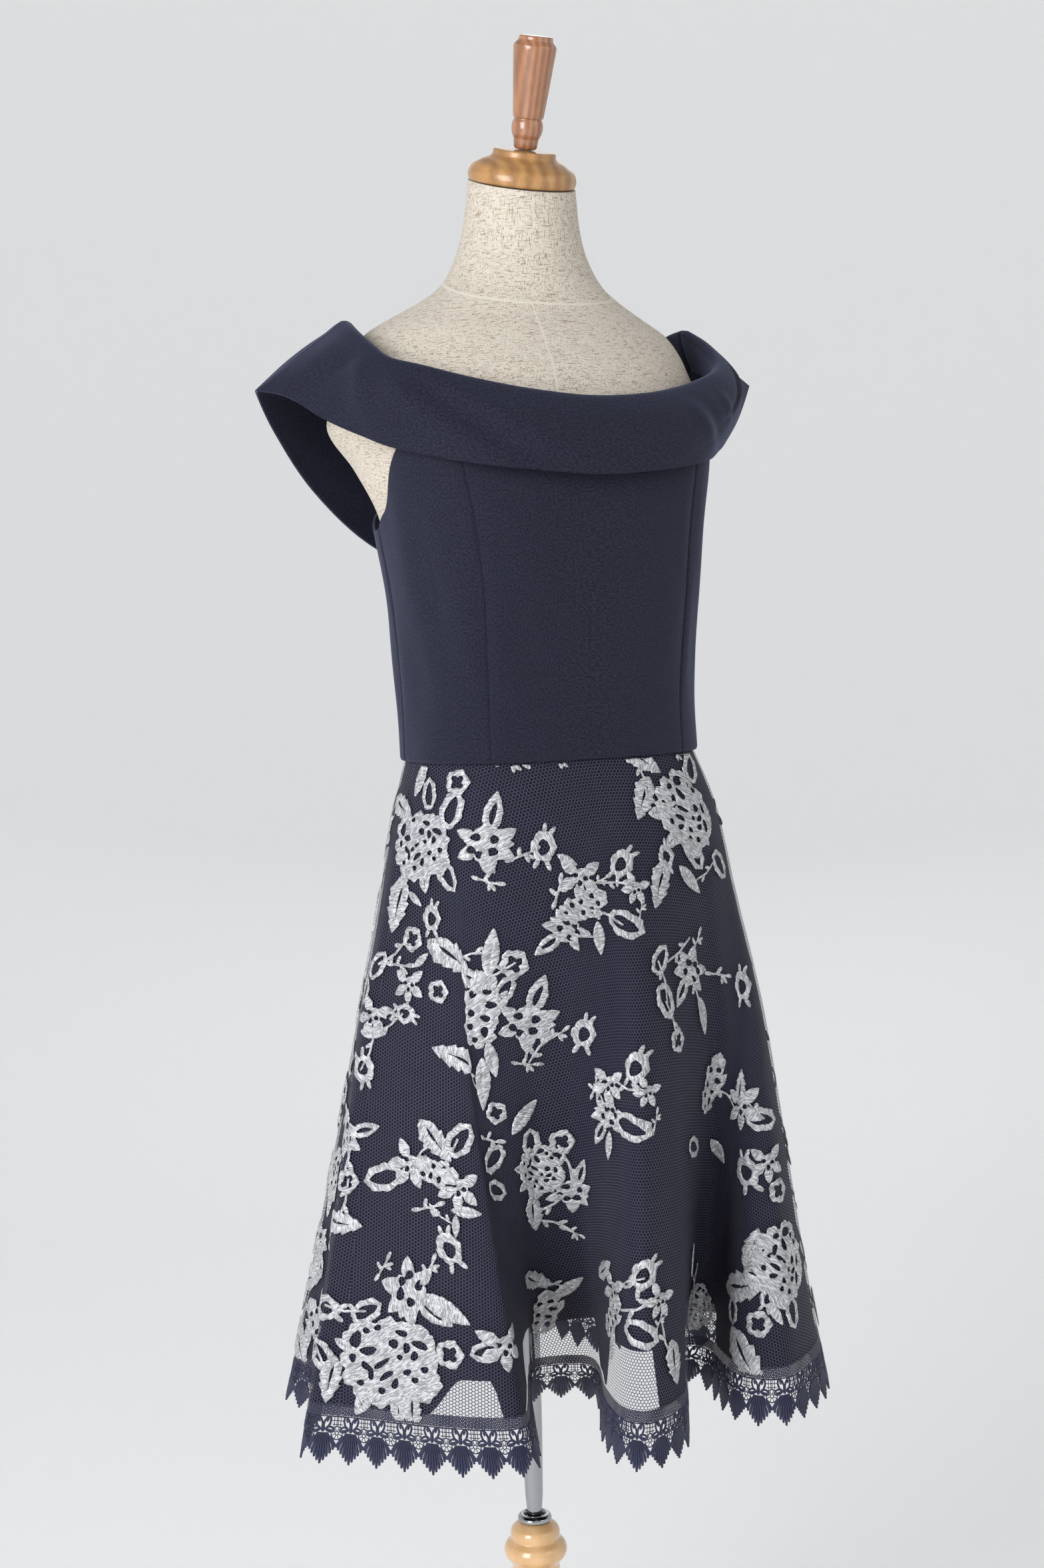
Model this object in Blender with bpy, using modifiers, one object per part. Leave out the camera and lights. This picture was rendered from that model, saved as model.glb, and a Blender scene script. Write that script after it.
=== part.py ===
"""Off-shoulder dress on a limbless dress form with its turned stand.

Metres, +Z up. The wearer faces -Y and the wearer's left is +X. The origin is on the
floor under the pole, and every table below is in millimetres.
"""
from bisect import bisect_right
from math import cos, pi, radians, sin, tan

import bmesh
import bpy
from mathutils import Matrix, Vector

MM = 0.001
SEAM_GAP = 0.3

# Dress
WAIST_HEIGHT = 1018.7
BODICE_BOTTOM = 1019.0
HEM_TIP_HEIGHT = 457.0
LACE_HEIGHT = 39.0
BODICE_WALL = 2.0
COLLAR_WALL = 2.2
SKIRT_WALL = 1.2
LINING_WALL = 1.0
LACE_WALL = 2.0
LINING_CLEARANCE = 0.5
LINING_STANDOFF = 5.2
LACE_REPEATS_PER_HALF = 43

# Stand
POLE_RADIUS = 9.5
POLE_BOTTOM = 340.0
FORM_BOTTOM = 828.0
CAP_TILT = 18.0
CAP_CENTRE = (0.0, -57.0, 1484.0)

# One closed section of the bodice for each height: half width, half depth, the centre
# line's Y, and how square the oval is (2 is an ellipse).
BODICE_SECTIONS = [
    # height, half_width, half_depth, centre_y, squareness
    (1015.0, 123.5, 86.5, -77.5, 2.6),
    (1060.0, 122.8, 86.5, -75.8, 2.6),
    (1100.0, 124.5, 89.5, -76.0, 2.6),
    (1150.0, 128.5, 95.5, -76.0, 2.6),
    (1200.0, 134.5, 101.5, -71.5, 2.6),
    (1250.0, 142.0, 103.0, -70.0, 2.6),
    (1300.0, 147.0, 100.0, -70.0, 2.5),
]

# The bodice's upper edge, by the angle from the centre front.
BODICE_TOP = [
    # angle, height
    (0.0, 1275.0),
    (50.0, 1275.0),
    (70.0, 1270.0),
    (80.0, 1252.0),
    (88.0, 1222.0),
    (99.0, 1205.0),
    (112.0, 1209.0),
    (128.0, 1221.0),
    (180.0, 1228.0),
]

# The princess seam's angle from the centre front, by height.
PRINCESS_SEAM = [
    # height, angle
    (1019.0, 38.0),
    (1190.0, 38.6),
    (1230.0, 39.8),
    (1275.0, 42.3),
]
SIDE_SEAM_ANGLE = 96.0

# The skirt without its folds.
SKIRT_SECTIONS = [
    # height, half_width, half_depth, centre_x, centre_y, squareness
    (1018.7, 120.5, 83.5, 0.0, -77.5, 2.6),
    (970.0, 138.5, 95.0, 3.5, -79.0, 2.4),
    (900.0, 154.0, 108.0, 4.5, -78.0, 2.3),
    (800.0, 177.0, 124.0, 6.0, -75.0, 2.2),
    (700.0, 194.0, 137.0, 6.0, -71.0, 2.1),
    (600.0, 209.0, 148.0, 4.0, -67.0, 2.05),
    (500.0, 224.0, 156.0, 2.0, -63.0, 2.0),
    (457.0, 230.0, 160.0, 1.0, -61.0, 2.0),
]

# The hem seen from above, from the centre back round by the wearer's right. The growth
# says how a fold opens towards the hem: 1 evenly, 2 mostly near the hem. The rise is how
# far the lining ends above the net's hem.
HEM = [
    # x, y, growth, rise
    (12.0, 64.0, 1.9, 45.0),
    (-12.0, 76.0, 1.8, 45.0),
    (-26.0, 112.0, 1.6, 45.0),
    (-44.0, 143.0, 1.4, 45.0),
    (-70.0, 146.0, 1.4, 45.0),
    (-87.0, 120.0, 1.6, 45.0),
    (-92.0, 84.0, 1.8, 45.0),
    (-109.0, 66.0, 1.8, 45.0),
    (-129.0, 80.0, 1.7, 45.0),
    (-151.0, 108.0, 1.5, 42.0),
    (-179.0, 111.0, 1.4, 42.0),
    (-197.0, 86.0, 1.5, 42.0),
    (-192.0, 54.0, 1.7, 42.0),
    (-186.0, 27.0, 1.7, 42.0),
    (-205.0, 5.0, 1.5, 40.0),
    (-210.0, -16.0, 1.3, 40.0),
    (-232.0, -53.0, 1.6, 38.0),
    (-208.0, -76.0, 1.1, 38.0),
    (-175.0, -110.0, 1.1, 38.0),
    (-140.0, -144.0, 1.1, 38.0),
    (-104.0, -170.0, 1.2, 38.0),
    (-78.0, -173.0, 1.4, 38.0),
    (-61.0, -149.0, 1.7, 40.0),
    (-36.0, -88.0, 2.1, 44.0),
    (-16.0, -34.0, 2.2, 46.0),
    (8.0, -29.0, 2.2, 46.0),
    (33.0, -46.0, 2.1, 50.0),
    (27.0, -78.0, 2.0, 54.0),
    (0.0, -134.0, 1.8, 56.0),
    (-13.0, -186.0, 1.5, 56.0),
    (-4.0, -212.0, 1.3, 56.0),
    (18.0, -211.0, 1.2, 56.0),
    (45.0, -195.0, 1.2, 56.0),
    (64.0, -170.0, 1.3, 54.0),
    (88.0, -115.0, 1.5, 50.0),
    (110.0, -64.0, 1.6, 46.0),
    (127.0, -58.0, 1.6, 44.0),
    (131.0, -80.0, 1.6, 42.0),
    (122.0, -114.0, 1.5, 42.0),
    (117.0, -148.0, 1.4, 42.0),
    (127.0, -173.0, 1.3, 42.0),
    (151.0, -184.0, 1.2, 42.0),
    (179.0, -171.0, 1.1, 42.0),
    (214.0, -144.0, 1.8, 42.0),
    (240.0, -103.0, 2.4, 42.0),
    (242.0, -60.0, 2.4, 42.0),
    (220.0, -22.0, 1.4, 42.0),
    (190.0, 4.0, 1.6, 42.0),
    (179.0, 31.0, 1.7, 42.0),
    (195.0, 62.0, 1.5, 42.0),
    (189.0, 92.0, 1.4, 42.0),
    (160.0, 100.0, 1.5, 42.0),
    (131.0, 76.0, 1.7, 45.0),
    (111.0, 52.0, 1.8, 45.0),
    (92.0, 64.0, 1.8, 45.0),
    (85.0, 98.0, 1.6, 45.0),
    (78.0, 130.0, 1.4, 45.0),
    (54.0, 143.0, 1.4, 45.0),
    (33.0, 122.0, 1.6, 45.0),
    (27.0, 84.0, 1.8, 45.0),
]

# The folded collar, by stations from the wearer's right shoulder seam to the left one:
# the top of the fold, the free lower edge, how far the outer leg bellies out, and the
# height of the inner leg's lower edge.
COLLAR_FRONT = [
    # top_x, top_y, top_z, low_x, low_y, low_z, belly, inner_low_z
    (-155.0, -47.0, 1372.0, -226.0, -32.0, 1318.0, 0.0, 1331.0),
    (-157.0, -73.0, 1361.0, -209.0, -53.0, 1311.0, 3.0, 1326.0),
    (-153.0, -98.0, 1347.0, -186.0, -77.0, 1291.0, 6.0, 1315.0),
    (-146.0, -117.0, 1335.0, -163.0, -101.0, 1276.0, 9.0, 1303.0),
    (-126.0, -136.0, 1327.0, -143.0, -122.0, 1265.0, 10.0, 1290.0),
    (-91.0, -154.0, 1316.0, -104.0, -164.0, 1252.0, 9.0, 1278.0),
    (-50.0, -168.0, 1307.0, -58.0, -183.0, 1245.0, 8.0, 1275.5),
    (0.0, -173.0, 1302.0, 0.0, -188.0, 1241.0, 8.0, 1275.5),
    (50.0, -168.0, 1305.0, 58.0, -183.0, 1245.0, 8.0, 1275.5),
    (91.0, -154.0, 1313.0, 104.0, -164.0, 1252.0, 9.0, 1278.0),
    (126.0, -136.0, 1324.0, 143.0, -122.0, 1265.0, 11.0, 1290.0),
    (146.0, -117.0, 1334.0, 163.0, -101.0, 1276.0, 12.0, 1303.0),
    (155.0, -98.0, 1345.0, 187.0, -77.0, 1293.0, 9.0, 1315.0),
    (158.0, -73.0, 1359.0, 210.0, -53.0, 1313.0, 4.0, 1326.0),
    (155.0, -47.0, 1372.0, 228.0, -31.0, 1328.0, 0.0, 1331.0),
]

# The back of the collar, from the wearer's left shoulder seam to the right one.
COLLAR_BACK = [
    # top_x, top_y, top_z, low_x, low_y, low_z, belly, inner_low_z
    (155.0, -47.0, 1372.0, 228.0, -31.0, 1328.0, 0.0, 1331.0),
    (152.0, -16.0, 1368.0, 216.0, -4.0, 1316.0, 5.0, 1330.0),
    (140.0, 14.0, 1350.0, 196.0, 14.0, 1288.0, 8.0, 1316.0),
    (112.0, 36.0, 1320.0, 160.0, 30.0, 1243.0, 8.0, 1288.0),
    (74.0, 46.0, 1286.0, 110.0, 42.0, 1200.0, 7.0, 1258.0),
    (36.0, 50.0, 1264.0, 52.0, 48.0, 1172.0, 6.0, 1238.0),
    (0.0, 51.0, 1254.0, 0.0, 50.0, 1164.0, 5.0, 1228.6),
    (-36.0, 50.0, 1264.0, -52.0, 48.0, 1172.0, 6.0, 1238.0),
    (-74.0, 46.0, 1286.0, -110.0, 42.0, 1200.0, 7.0, 1258.0),
    (-112.0, 36.0, 1320.0, -160.0, 30.0, 1243.0, 8.0, 1288.0),
    (-140.0, 14.0, 1350.0, -196.0, 14.0, 1288.0, 8.0, 1316.0),
    (-152.0, -16.0, 1368.0, -216.0, -4.0, 1316.0, 5.0, 1330.0),
    (-155.0, -47.0, 1372.0, -226.0, -32.0, 1318.0, 0.0, 1331.0),
]
FOLD_RADIUS = 3.4
COLLAR_CENTRE_Y = -62.0

# The padded form. Front and back depths differ because the shoulders sit towards the
# back, and the tilt leans a section forwards.
FORM_SECTIONS = [
    # height, half_width, front_depth, back_depth, centre_y, squareness, tilt
    (828.0, 70.0, 60.0, 50.0, -50.0, 2.2, 0.0),
    (832.0, 104.0, 78.0, 64.0, -54.0, 2.3, 0.0),
    (855.0, 122.0, 88.0, 72.0, -58.0, 2.4, 0.0),
    (910.0, 130.0, 90.0, 80.0, -64.0, 2.4, 0.0),
    (1025.0, 108.0, 72.0, 70.0, -77.0, 2.4, 0.0),
    (1110.0, 115.0, 84.0, 80.0, -76.0, 2.4, 0.0),
    (1180.0, 125.0, 94.0, 90.0, -73.0, 2.5, 0.0),
    (1220.0, 131.0, 113.6, 82.0, -57.0, 2.3, 0.0),
    (1255.0, 144.0, 118.0, 82.0, -40.0, 2.2, 0.0),
    (1290.0, 166.0, 118.0, 84.0, -38.0, 2.2, 0.0),
    (1325.0, 147.0, 104.0, 80.0, -42.0, 2.2, 0.0),
    (1345.0, 143.0, 96.0, 74.0, -38.0, 2.1, 0.0),
    (1362.0, 133.0, 86.0, 66.0, -37.0, 2.0, 0.0),
    (1374.0, 114.0, 76.0, 58.0, -38.0, 2.0, 0.0),
    (1388.0, 88.0, 64.0, 50.0, -44.0, 2.0, 0.0),
    (1402.0, 69.0, 56.0, 50.0, -50.0, 2.0, 3.0),
    (1425.0, 55.0, 50.0, 50.0, -52.0, 2.0, 6.0),
    (1450.0, 47.5, 48.0, 48.0, -54.0, 2.0, 11.0),
    (1483.5, 43.5, 45.0, 45.0, -57.0, 2.0, 18.0),
]
FORM_SEGMENTS = 32

# Turned profiles, radius and height, from the top down the outer side.
CAP_PROFILE = [
    (0.0, 27.0), (24.5, 27.0), (26.0, 26.0), (26.0, 22.5), (28.0, 20.5), (33.5, 18.5),
    (36.5, 16.5), (42.0, 13.5), (44.6, 8.5), (45.0, 4.5), (44.0, 0.8), (42.0, 0.3), (0.0, 0.3),
]
FINIAL_PROFILE = [
    (0.0, 88.5), (13.0, 88.5), (14.0, 87.5), (14.0, 85.0), (17.4, 81.5), (17.8, 79.5),
    (17.5, 76.0), (12.9, 26.0), (12.2, 25.0), (11.2, 24.4), (12.6, 22.0),
    (13.2, 17.5), (12.4, 12.5), (10.8, 9.6), (10.4, 8.6), (9.4, 0.3), (0.0, 0.3),
]
POST_PROFILE = [
    (0.0, 339.5), (9.0, 339.5), (15.0, 338.5), (20.5, 334.0), (22.0, 329.0), (21.0, 324.5),
    (22.5, 323.0), (26.0, 320.0), (28.0, 314.5), (26.5, 308.5), (22.0, 304.0), (20.5, 299.0),
    (20.5, 92.0), (23.0, 86.0), (27.0, 80.0), (28.0, 74.0), (25.5, 68.0), (22.0, 64.0),
    (23.0, 50.0), (30.0, 34.0), (38.0, 27.5), (42.0, 25.3), (0.0, 25.3),
]
BASE_PROFILE = [
    (0.0, 25.0), (140.0, 25.0), (148.0, 23.0), (153.0, 18.0), (155.0, 12.0), (155.0, 4.0),
    (152.0, 0.0), (0.0, 0.0),
]
FERRULE_PROFILE = [
    (POLE_RADIUS + SEAM_GAP, 346.0), (12.5, 345.6), (14.5, 344.0), (15.0, 342.0), (14.5, 339.8),
    (POLE_RADIUS + SEAM_GAP, 339.8),
]

# One repeat of the lace, along the hem and down from its top edge.
LACE_OUTLINE_BOTTOM = [
    # along (share of the repeat), down
    (0.25, 31.5), (0.5, 39.0), (0.75, 31.5), (1.0, 24.5), (1.25, 31.5),
]
LACE_WINDOW = {"centre": 1.0, "down": 15.5, "half_width": 3.9, "half_height": 5.2, "sides": 6}
LACE_NOTCH = [(0.375, 2.2), (0.625, 2.2), (0.5, 6.8)]


def clear_scene():
    for item in list(bpy.data.objects):
        bpy.data.objects.remove(item, do_unlink=True)


def material(name, colour, roughness, metallic=0.0):
    made = bpy.data.materials.new(name)
    made.use_nodes = True
    shader = made.node_tree.nodes["Principled BSDF"]
    shader.inputs["Base Color"].default_value = (*colour, 1.0)
    shader.inputs["Roughness"].default_value = roughness
    shader.inputs["Metallic"].default_value = metallic
    return made


def smooth_between(rows, x):
    """Read a table at x on a smooth curve through its rows."""
    keyed = sorted(rows)
    keys = [row[0] for row in keyed]
    place = min(max(bisect_right(keys, x), 1), len(keys) - 1)
    low, high = keyed[place - 1], keyed[place]
    before = keyed[max(place - 2, 0)]
    after = keyed[min(place + 1, len(keyed) - 1)]
    span = high[0] - low[0]
    s = min(max((x - low[0]) / span, 0.0), 1.0)
    result = []
    for column in range(1, len(low)):
        a, b = low[column], high[column]
        slope_a = span * (b - before[column]) / (high[0] - before[0])
        slope_b = span * (after[column] - a) / (after[0] - low[0])
        result.append((2 * s**3 - 3 * s**2 + 1) * a + (s**3 - 2 * s**2 + s) * slope_a
                      + (3 * s**2 - 2 * s**3) * b + (s**3 - s**2) * slope_b)
    return result


def oval(angle, half_width, front_depth, back_depth, centre_y, squareness):
    """A point of a squarish oval; the angle starts at the front and turns to the left."""
    power = 2.0 / squareness
    side, ahead = sin(angle), cos(angle)
    depth = front_depth if ahead > 0 else back_depth
    x = half_width * abs(side) ** power * (1 if side > 0 else -1)
    y = centre_y - depth * abs(ahead) ** power * (1 if ahead > 0 else -1)
    return x, y


def grid_wall(name, columns, rows, outer, inner, look, collection):
    """A thin closed wall: a flat grid thickened once, then bent by two functions."""
    mesh = bmesh.new()
    bmesh.ops.create_grid(mesh, x_segments=len(columns) - 1, y_segments=len(rows) - 1, size=0.5)
    for vertex in mesh.verts:
        vertex.co.x = round((vertex.co.x + 0.5) * (len(columns) - 1))
        vertex.co.y = round((vertex.co.y + 0.5) * (len(rows) - 1))
    thicken_flat(mesh)
    for vertex in mesh.verts:
        u, v = columns[round(vertex.co.x)], rows[round(vertex.co.y)]
        bend = inner if vertex.co.z > 0.5 else outer
        vertex.co = Vector(bend(u, v)) * MM
    return finish_mesh(name, mesh, look, collection)


def thicken_flat(mesh):
    """Close a flat sheet into a slab of height 1."""
    made = bmesh.ops.extrude_face_region(mesh, geom=mesh.faces[:])
    for item in made["geom"]:
        if isinstance(item, bmesh.types.BMVert):
            item.co.z += 1.0


def finish_mesh(name, mesh, look, collection, smooth_angle=35.0):
    bmesh.ops.triangulate(mesh, faces=mesh.faces[:])
    bmesh.ops.recalc_face_normals(mesh, faces=mesh.faces[:])
    data = bpy.data.meshes.new(name)
    mesh.to_mesh(data)
    mesh.free()
    data.shade_smooth()
    data.set_sharp_from_angle(angle=radians(smooth_angle))
    made = bpy.data.objects.new(name, data)
    made.data.materials.append(look)
    collection.objects.link(made)
    return made


def moved_back(surface, distance):
    """The same surface moved against its own normal, which u x v gives."""
    step = 1e-3

    def moved(u, v):
        along = Vector(surface(u + step, v)) - Vector(surface(u - step, v))
        down = Vector(surface(u, v + step)) - Vector(surface(u, v - step))
        normal = along.cross(down).normalized()
        return Vector(surface(u, v)) - normal * distance

    return moved


def evenly(first, last, count):
    return [first + (last - first) * index / (count - 1) for index in range(count)]


# Bodice

def bodice_point(angle, height):
    half_width, half_depth, centre_y, squareness = smooth_between(BODICE_SECTIONS, height)
    x, y = oval(radians(angle), half_width, half_depth, half_depth, centre_y, squareness)
    return Vector((x, y, height))


def bodice_panel_surface(left_angle, right_angle):
    """A panel between two seams, each an angle by height; v runs from the bottom to the top."""

    def surface(u, v):
        height = BODICE_BOTTOM
        for _ in range(3):
            angle = left_angle(height) + (right_angle(height) - left_angle(height)) * u
            top = smooth_between(BODICE_TOP, abs(angle))[0]
            height = BODICE_BOTTOM + (top - BODICE_BOTTOM) * v
        return bodice_point(angle, height)

    return surface


def seam_angle(height):
    return smooth_between(PRINCESS_SEAM, height)[0]


def build_bodice(look, collection):
    half_gap = SEAM_GAP / 2 / 125.0 * 180 / pi

    def princess(side, shift):
        return lambda height: side * (seam_angle(height) + shift * half_gap)

    def fixed(angle):
        return lambda height: angle

    side_seam = SIDE_SEAM_ANGLE
    panels = [
        # name, first seam, last seam, columns
        ("bodice_front", princess(-1, -1), princess(1, -1), 10),
        ("bodice_side_front_right", fixed(-side_seam + half_gap), princess(-1, 1), 8),
        ("bodice_side_front_left", princess(1, 1), fixed(side_seam - half_gap), 8),
        ("bodice_back_left", fixed(side_seam + half_gap), fixed(180.0 - half_gap), 8),
        ("bodice_back_right", fixed(-180.0 + half_gap), fixed(-side_seam - half_gap), 8),
    ]
    rows = [0.0, 0.2, 0.4, 0.58, 0.74, 0.88, 1.0]
    for name, first, last, columns in panels:
        surface = bodice_panel_surface(first, last)
        grid_wall(name, evenly(0.0, 1.0, columns), rows, surface,
                  moved_back(surface, BODICE_WALL), look, collection)


# Collar

def station(table, u):
    """A row of the collar's table at u stations from its start, on a smooth curve."""
    rows = [(float(index), *row) for index, row in enumerate(table)]
    return smooth_between(rows, u)


def outwards(x, y):
    """Level and away from the collar's middle."""
    return Vector((x, (y - COLLAR_CENTRE_Y) * 1.35, 0.0)).normalized()


def collar_faces(table):
    """The folded band's face inside the fold: v runs from the inner leg's lower edge over the
    fold to the free edge. The wall lies outside it, so its outer face meets the table."""

    def section(u):
        top_x, top_y, top_z, low_x, low_y, low_z, belly, inner_low_z = station(table, u)
        top = Vector((top_x, top_y, top_z - FOLD_RADIUS - COLLAR_WALL))
        low = Vector((low_x, low_y, low_z))
        inner_leg = top.z - inner_low_z
        out = outwards(top_x, top_y)
        up = Vector((0.0, 0.0, 1.0))
        leg = low - top
        face = (out - leg * out.dot(leg) / leg.length_squared).normalized()
        lean = (leg.normalized() - up * -1.0) * 0.35
        points = [
            top - out * FOLD_RADIUS - up * inner_leg + lean * inner_leg,
            top - out * FOLD_RADIUS - up * inner_leg * 0.5 + lean * inner_leg * 0.4,
            top - out * FOLD_RADIUS,
            top - out * FOLD_RADIUS * 0.7 + up * FOLD_RADIUS * 0.7,
            top + up * FOLD_RADIUS,
            top + out * FOLD_RADIUS * 0.8 + up * FOLD_RADIUS * 0.6,
        ]
        start = top + out * FOLD_RADIUS
        for share in (0.08, 0.3, 0.55, 0.8, 1.0):
            bulge = belly * sin(pi * share ** 0.8) if share < 1.0 else 0.0
            points.append(start + (low - face * COLLAR_WALL - start) * share + face * bulge)
        return points

    def inner(u, v):
        points = section(u)
        place = min(max(int(v), 0), len(points) - 2)
        share = v - place
        before = points[max(place - 1, 0)]
        low, high = points[place], points[place + 1]
        after = points[min(place + 2, len(points) - 1)]
        return 0.5 * (2 * low + (high - before) * share
                      + (2 * before - 5 * low + 4 * high - after) * share**2
                      + (3 * low - before - 3 * high + after) * share**3)

    def outer(u, v):
        along = Vector((0.0, 0.0, 1.0)).cross(outwards(*station(table, u)[:2]))
        down = inner(u, v + 1e-3) - inner(u, v - 1e-3)
        return inner(u, v) - along.cross(down).normalized() * COLLAR_WALL

    return inner, outer


def build_collar(look, collection):
    rows = [float(row) for row in range(11)]
    for name, table, columns in (("collar_front", COLLAR_FRONT, 25), ("collar_back", COLLAR_BACK, 21)):
        inner, outer = collar_faces(table)
        last = len(table) - 1.0
        trim = SEAM_GAP / 2 / 25.0
        grid_wall(name, evenly(trim, last - trim, columns), rows, inner, outer, look, collection)


# Skirt

class HemCurve:
    """The hem from above as a closed smooth curve, read by its share of the length."""

    def __init__(self, table, steps=12):
        count = len(table)
        self.samples = []
        for index in range(count):
            before, low = table[index - 1], table[index]
            high, after = table[(index + 1) % count], table[(index + 2) % count]
            for step in range(steps):
                s = step / steps
                self.samples.append([
                    0.5 * (2 * b + (c - a) * s + (2 * a - 5 * b + 4 * c - d) * s**2
                           + (3 * b - a - 3 * c + d) * s**3)
                    for a, b, c, d in zip(before, low, high, after)
                ])
        self.reach = [0.0]
        for low, high in zip(self.samples, self.samples[1:] + self.samples[:1]):
            self.reach.append(self.reach[-1] + Vector((high[0] - low[0], high[1] - low[1])).length)
        self.length = self.reach[-1]
        self.knots = [self.reach[index * steps] / self.length for index in range(count)]

    def at(self, share):
        along = (share % 1.0) * self.length
        place = min(bisect_right(self.reach, along) - 1, len(self.samples) - 1)
        low = self.samples[place]
        high = self.samples[(place + 1) % len(self.samples)]
        s = (along - self.reach[place]) / (self.reach[place + 1] - self.reach[place])
        return [a + (b - a) * s for a, b in zip(low, high)]


class OvalByShare:
    """Angles of an oval section, read by the share of its length from the centre back."""

    def __init__(self, section, steps=360):
        half_width, half_depth, _, centre_y, squareness = section
        self.angles = [pi + 2 * pi * index / steps for index in range(steps + 1)]
        points = [Vector(oval(angle, half_width, half_depth, half_depth, centre_y, squareness))
                  for angle in self.angles]
        self.reach = [0.0]
        for low, high in zip(points, points[1:]):
            self.reach.append(self.reach[-1] + (high - low).length)

    def at(self, share):
        along = (share % 1.0) * self.reach[-1]
        place = min(bisect_right(self.reach, along) - 1, len(self.angles) - 2)
        s = (along - self.reach[place]) / (self.reach[place + 1] - self.reach[place])
        return self.angles[place] + (self.angles[place + 1] - self.angles[place]) * s


HEM_CURVE = HemCurve(HEM)
WAIST_ANGLE = OvalByShare(SKIRT_SECTIONS[0][1:])
SKIRT_DROP = WAIST_HEIGHT - HEM_TIP_HEIGHT
NET_HEM = 1.0 - LACE_HEIGHT / SKIRT_DROP


def plain_skirt_point(share, depth):
    height = WAIST_HEIGHT - SKIRT_DROP * depth
    half_width, half_depth, centre_x, centre_y, squareness = smooth_between(SKIRT_SECTIONS, height)
    x, y = oval(WAIST_ANGLE.at(share), half_width, half_depth, half_depth, centre_y, squareness)
    return x + centre_x, y


def skirt_point(share, depth):
    """The skirt's outer face: share round from the centre back, depth 0 at the waist, 1 at the tips."""
    hem_x, hem_y, growth, _ = HEM_CURVE.at(share)
    x, y = plain_skirt_point(share, depth)
    hem_plain_x, hem_plain_y = plain_skirt_point(share, 1.0)
    fold = max(depth, 0.0) ** growth
    return Vector((x + (hem_x - hem_plain_x) * fold, y + (hem_y - hem_plain_y) * fold,
                   WAIST_HEIGHT - SKIRT_DROP * depth))


def skirt_offset(distance):
    """The skirt's surface moved level towards the inside, by a distance that depth may change."""

    def moved(share, depth):
        step = 2e-3
        along = skirt_point(share + step, depth) - skirt_point(share - step, depth)
        inwards = Vector((-along.y, along.x, 0.0)).normalized()
        return skirt_point(share, depth) + inwards * distance(depth)

    return moved


def fold_columns(first, last, widest=0.0125):
    """Shares of the hem for a panel's columns: every bend of the hem, and between far ones."""
    knots = sorted(knot + turn for knot in HEM_CURVE.knots for turn in (0.0, 1.0))
    shares = [first] + [knot for knot in knots if first + 0.004 < knot < last - 0.004] + [last]
    columns = [first]
    for low, high in zip(shares, shares[1:]):
        pieces = max(1, round((high - low) / widest))
        columns += [low + (high - low) * (piece + 1) / pieces for piece in range(pieces)]
    return columns


def build_skirt(net_look, lining_look, collection):
    half_gap = SEAM_GAP / 2 / 740.0
    halves = [("front", 0.25, 0.75), ("back", 0.75, 1.25)]
    net_rows = [0.0, 0.1, 0.24, 0.4, 0.56, 0.72, 0.84, NET_HEM]

    def lining_outer(depth):
        return SKIRT_WALL + LINING_CLEARANCE + (LINING_STANDOFF - 1.0) * min(depth / 0.25, 1.0)

    def lining_inner(depth):
        return lining_outer(depth) + LINING_WALL

    for half, first, last in halves:
        columns = fold_columns(first + half_gap, last - half_gap)
        grid_wall("skirt_" + half, columns, net_rows, skirt_point,
                  skirt_offset(lambda depth: SKIRT_WALL), net_look, collection)

        def hem_depth(share):
            return NET_HEM - HEM_CURVE.at(share)[3] / SKIRT_DROP

        def lining_face(distance):
            face = skirt_offset(distance)
            return lambda share, v: face(share, 0.004 + (hem_depth(share) - 0.004) * v)

        lining_rows = [0.0, 0.18, 0.4, 0.62, 0.82, 1.0]
        grid_wall("lining_" + half, columns, lining_rows, lining_face(lining_outer),
                  lining_face(lining_inner), lining_look, collection)


# Lace

def lace_repeat(pitch):
    """One repeat as a flat filled curve with its two gaps, made a mesh."""
    curve = bpy.data.curves.new("lace_repeat", "CURVE")
    curve.dimensions = "2D"
    curve.fill_mode = "BOTH"
    window = LACE_WINDOW
    turns = [2 * pi * (index + 0.5) / window["sides"] for index in range(window["sides"])]
    outlines = [
        [(0.25 * pitch, 0.0), *[(along * pitch, down) for along, down in LACE_OUTLINE_BOTTOM],
         (1.25 * pitch, 0.0)],
        [(window["centre"] * pitch + window["half_width"] * sin(turn),
          window["down"] + window["half_height"] * cos(turn)) for turn in turns],
        [(along * pitch, down) for along, down in LACE_NOTCH],
    ]
    for outline in outlines:
        spline = curve.splines.new("POLY")
        spline.points.add(len(outline) - 1)
        for point, (along, down) in zip(spline.points, outline):
            point.co = (along, -down, 0.0, 1.0)
        spline.use_cyclic_u = True
    holder = bpy.data.objects.new("lace_repeat", curve)
    bpy.context.scene.collection.objects.link(holder)
    flat = bpy.data.meshes.new_from_object(holder.evaluated_get(bpy.context.evaluated_depsgraph_get()))
    bpy.data.objects.remove(holder, do_unlink=True)
    return flat


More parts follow.
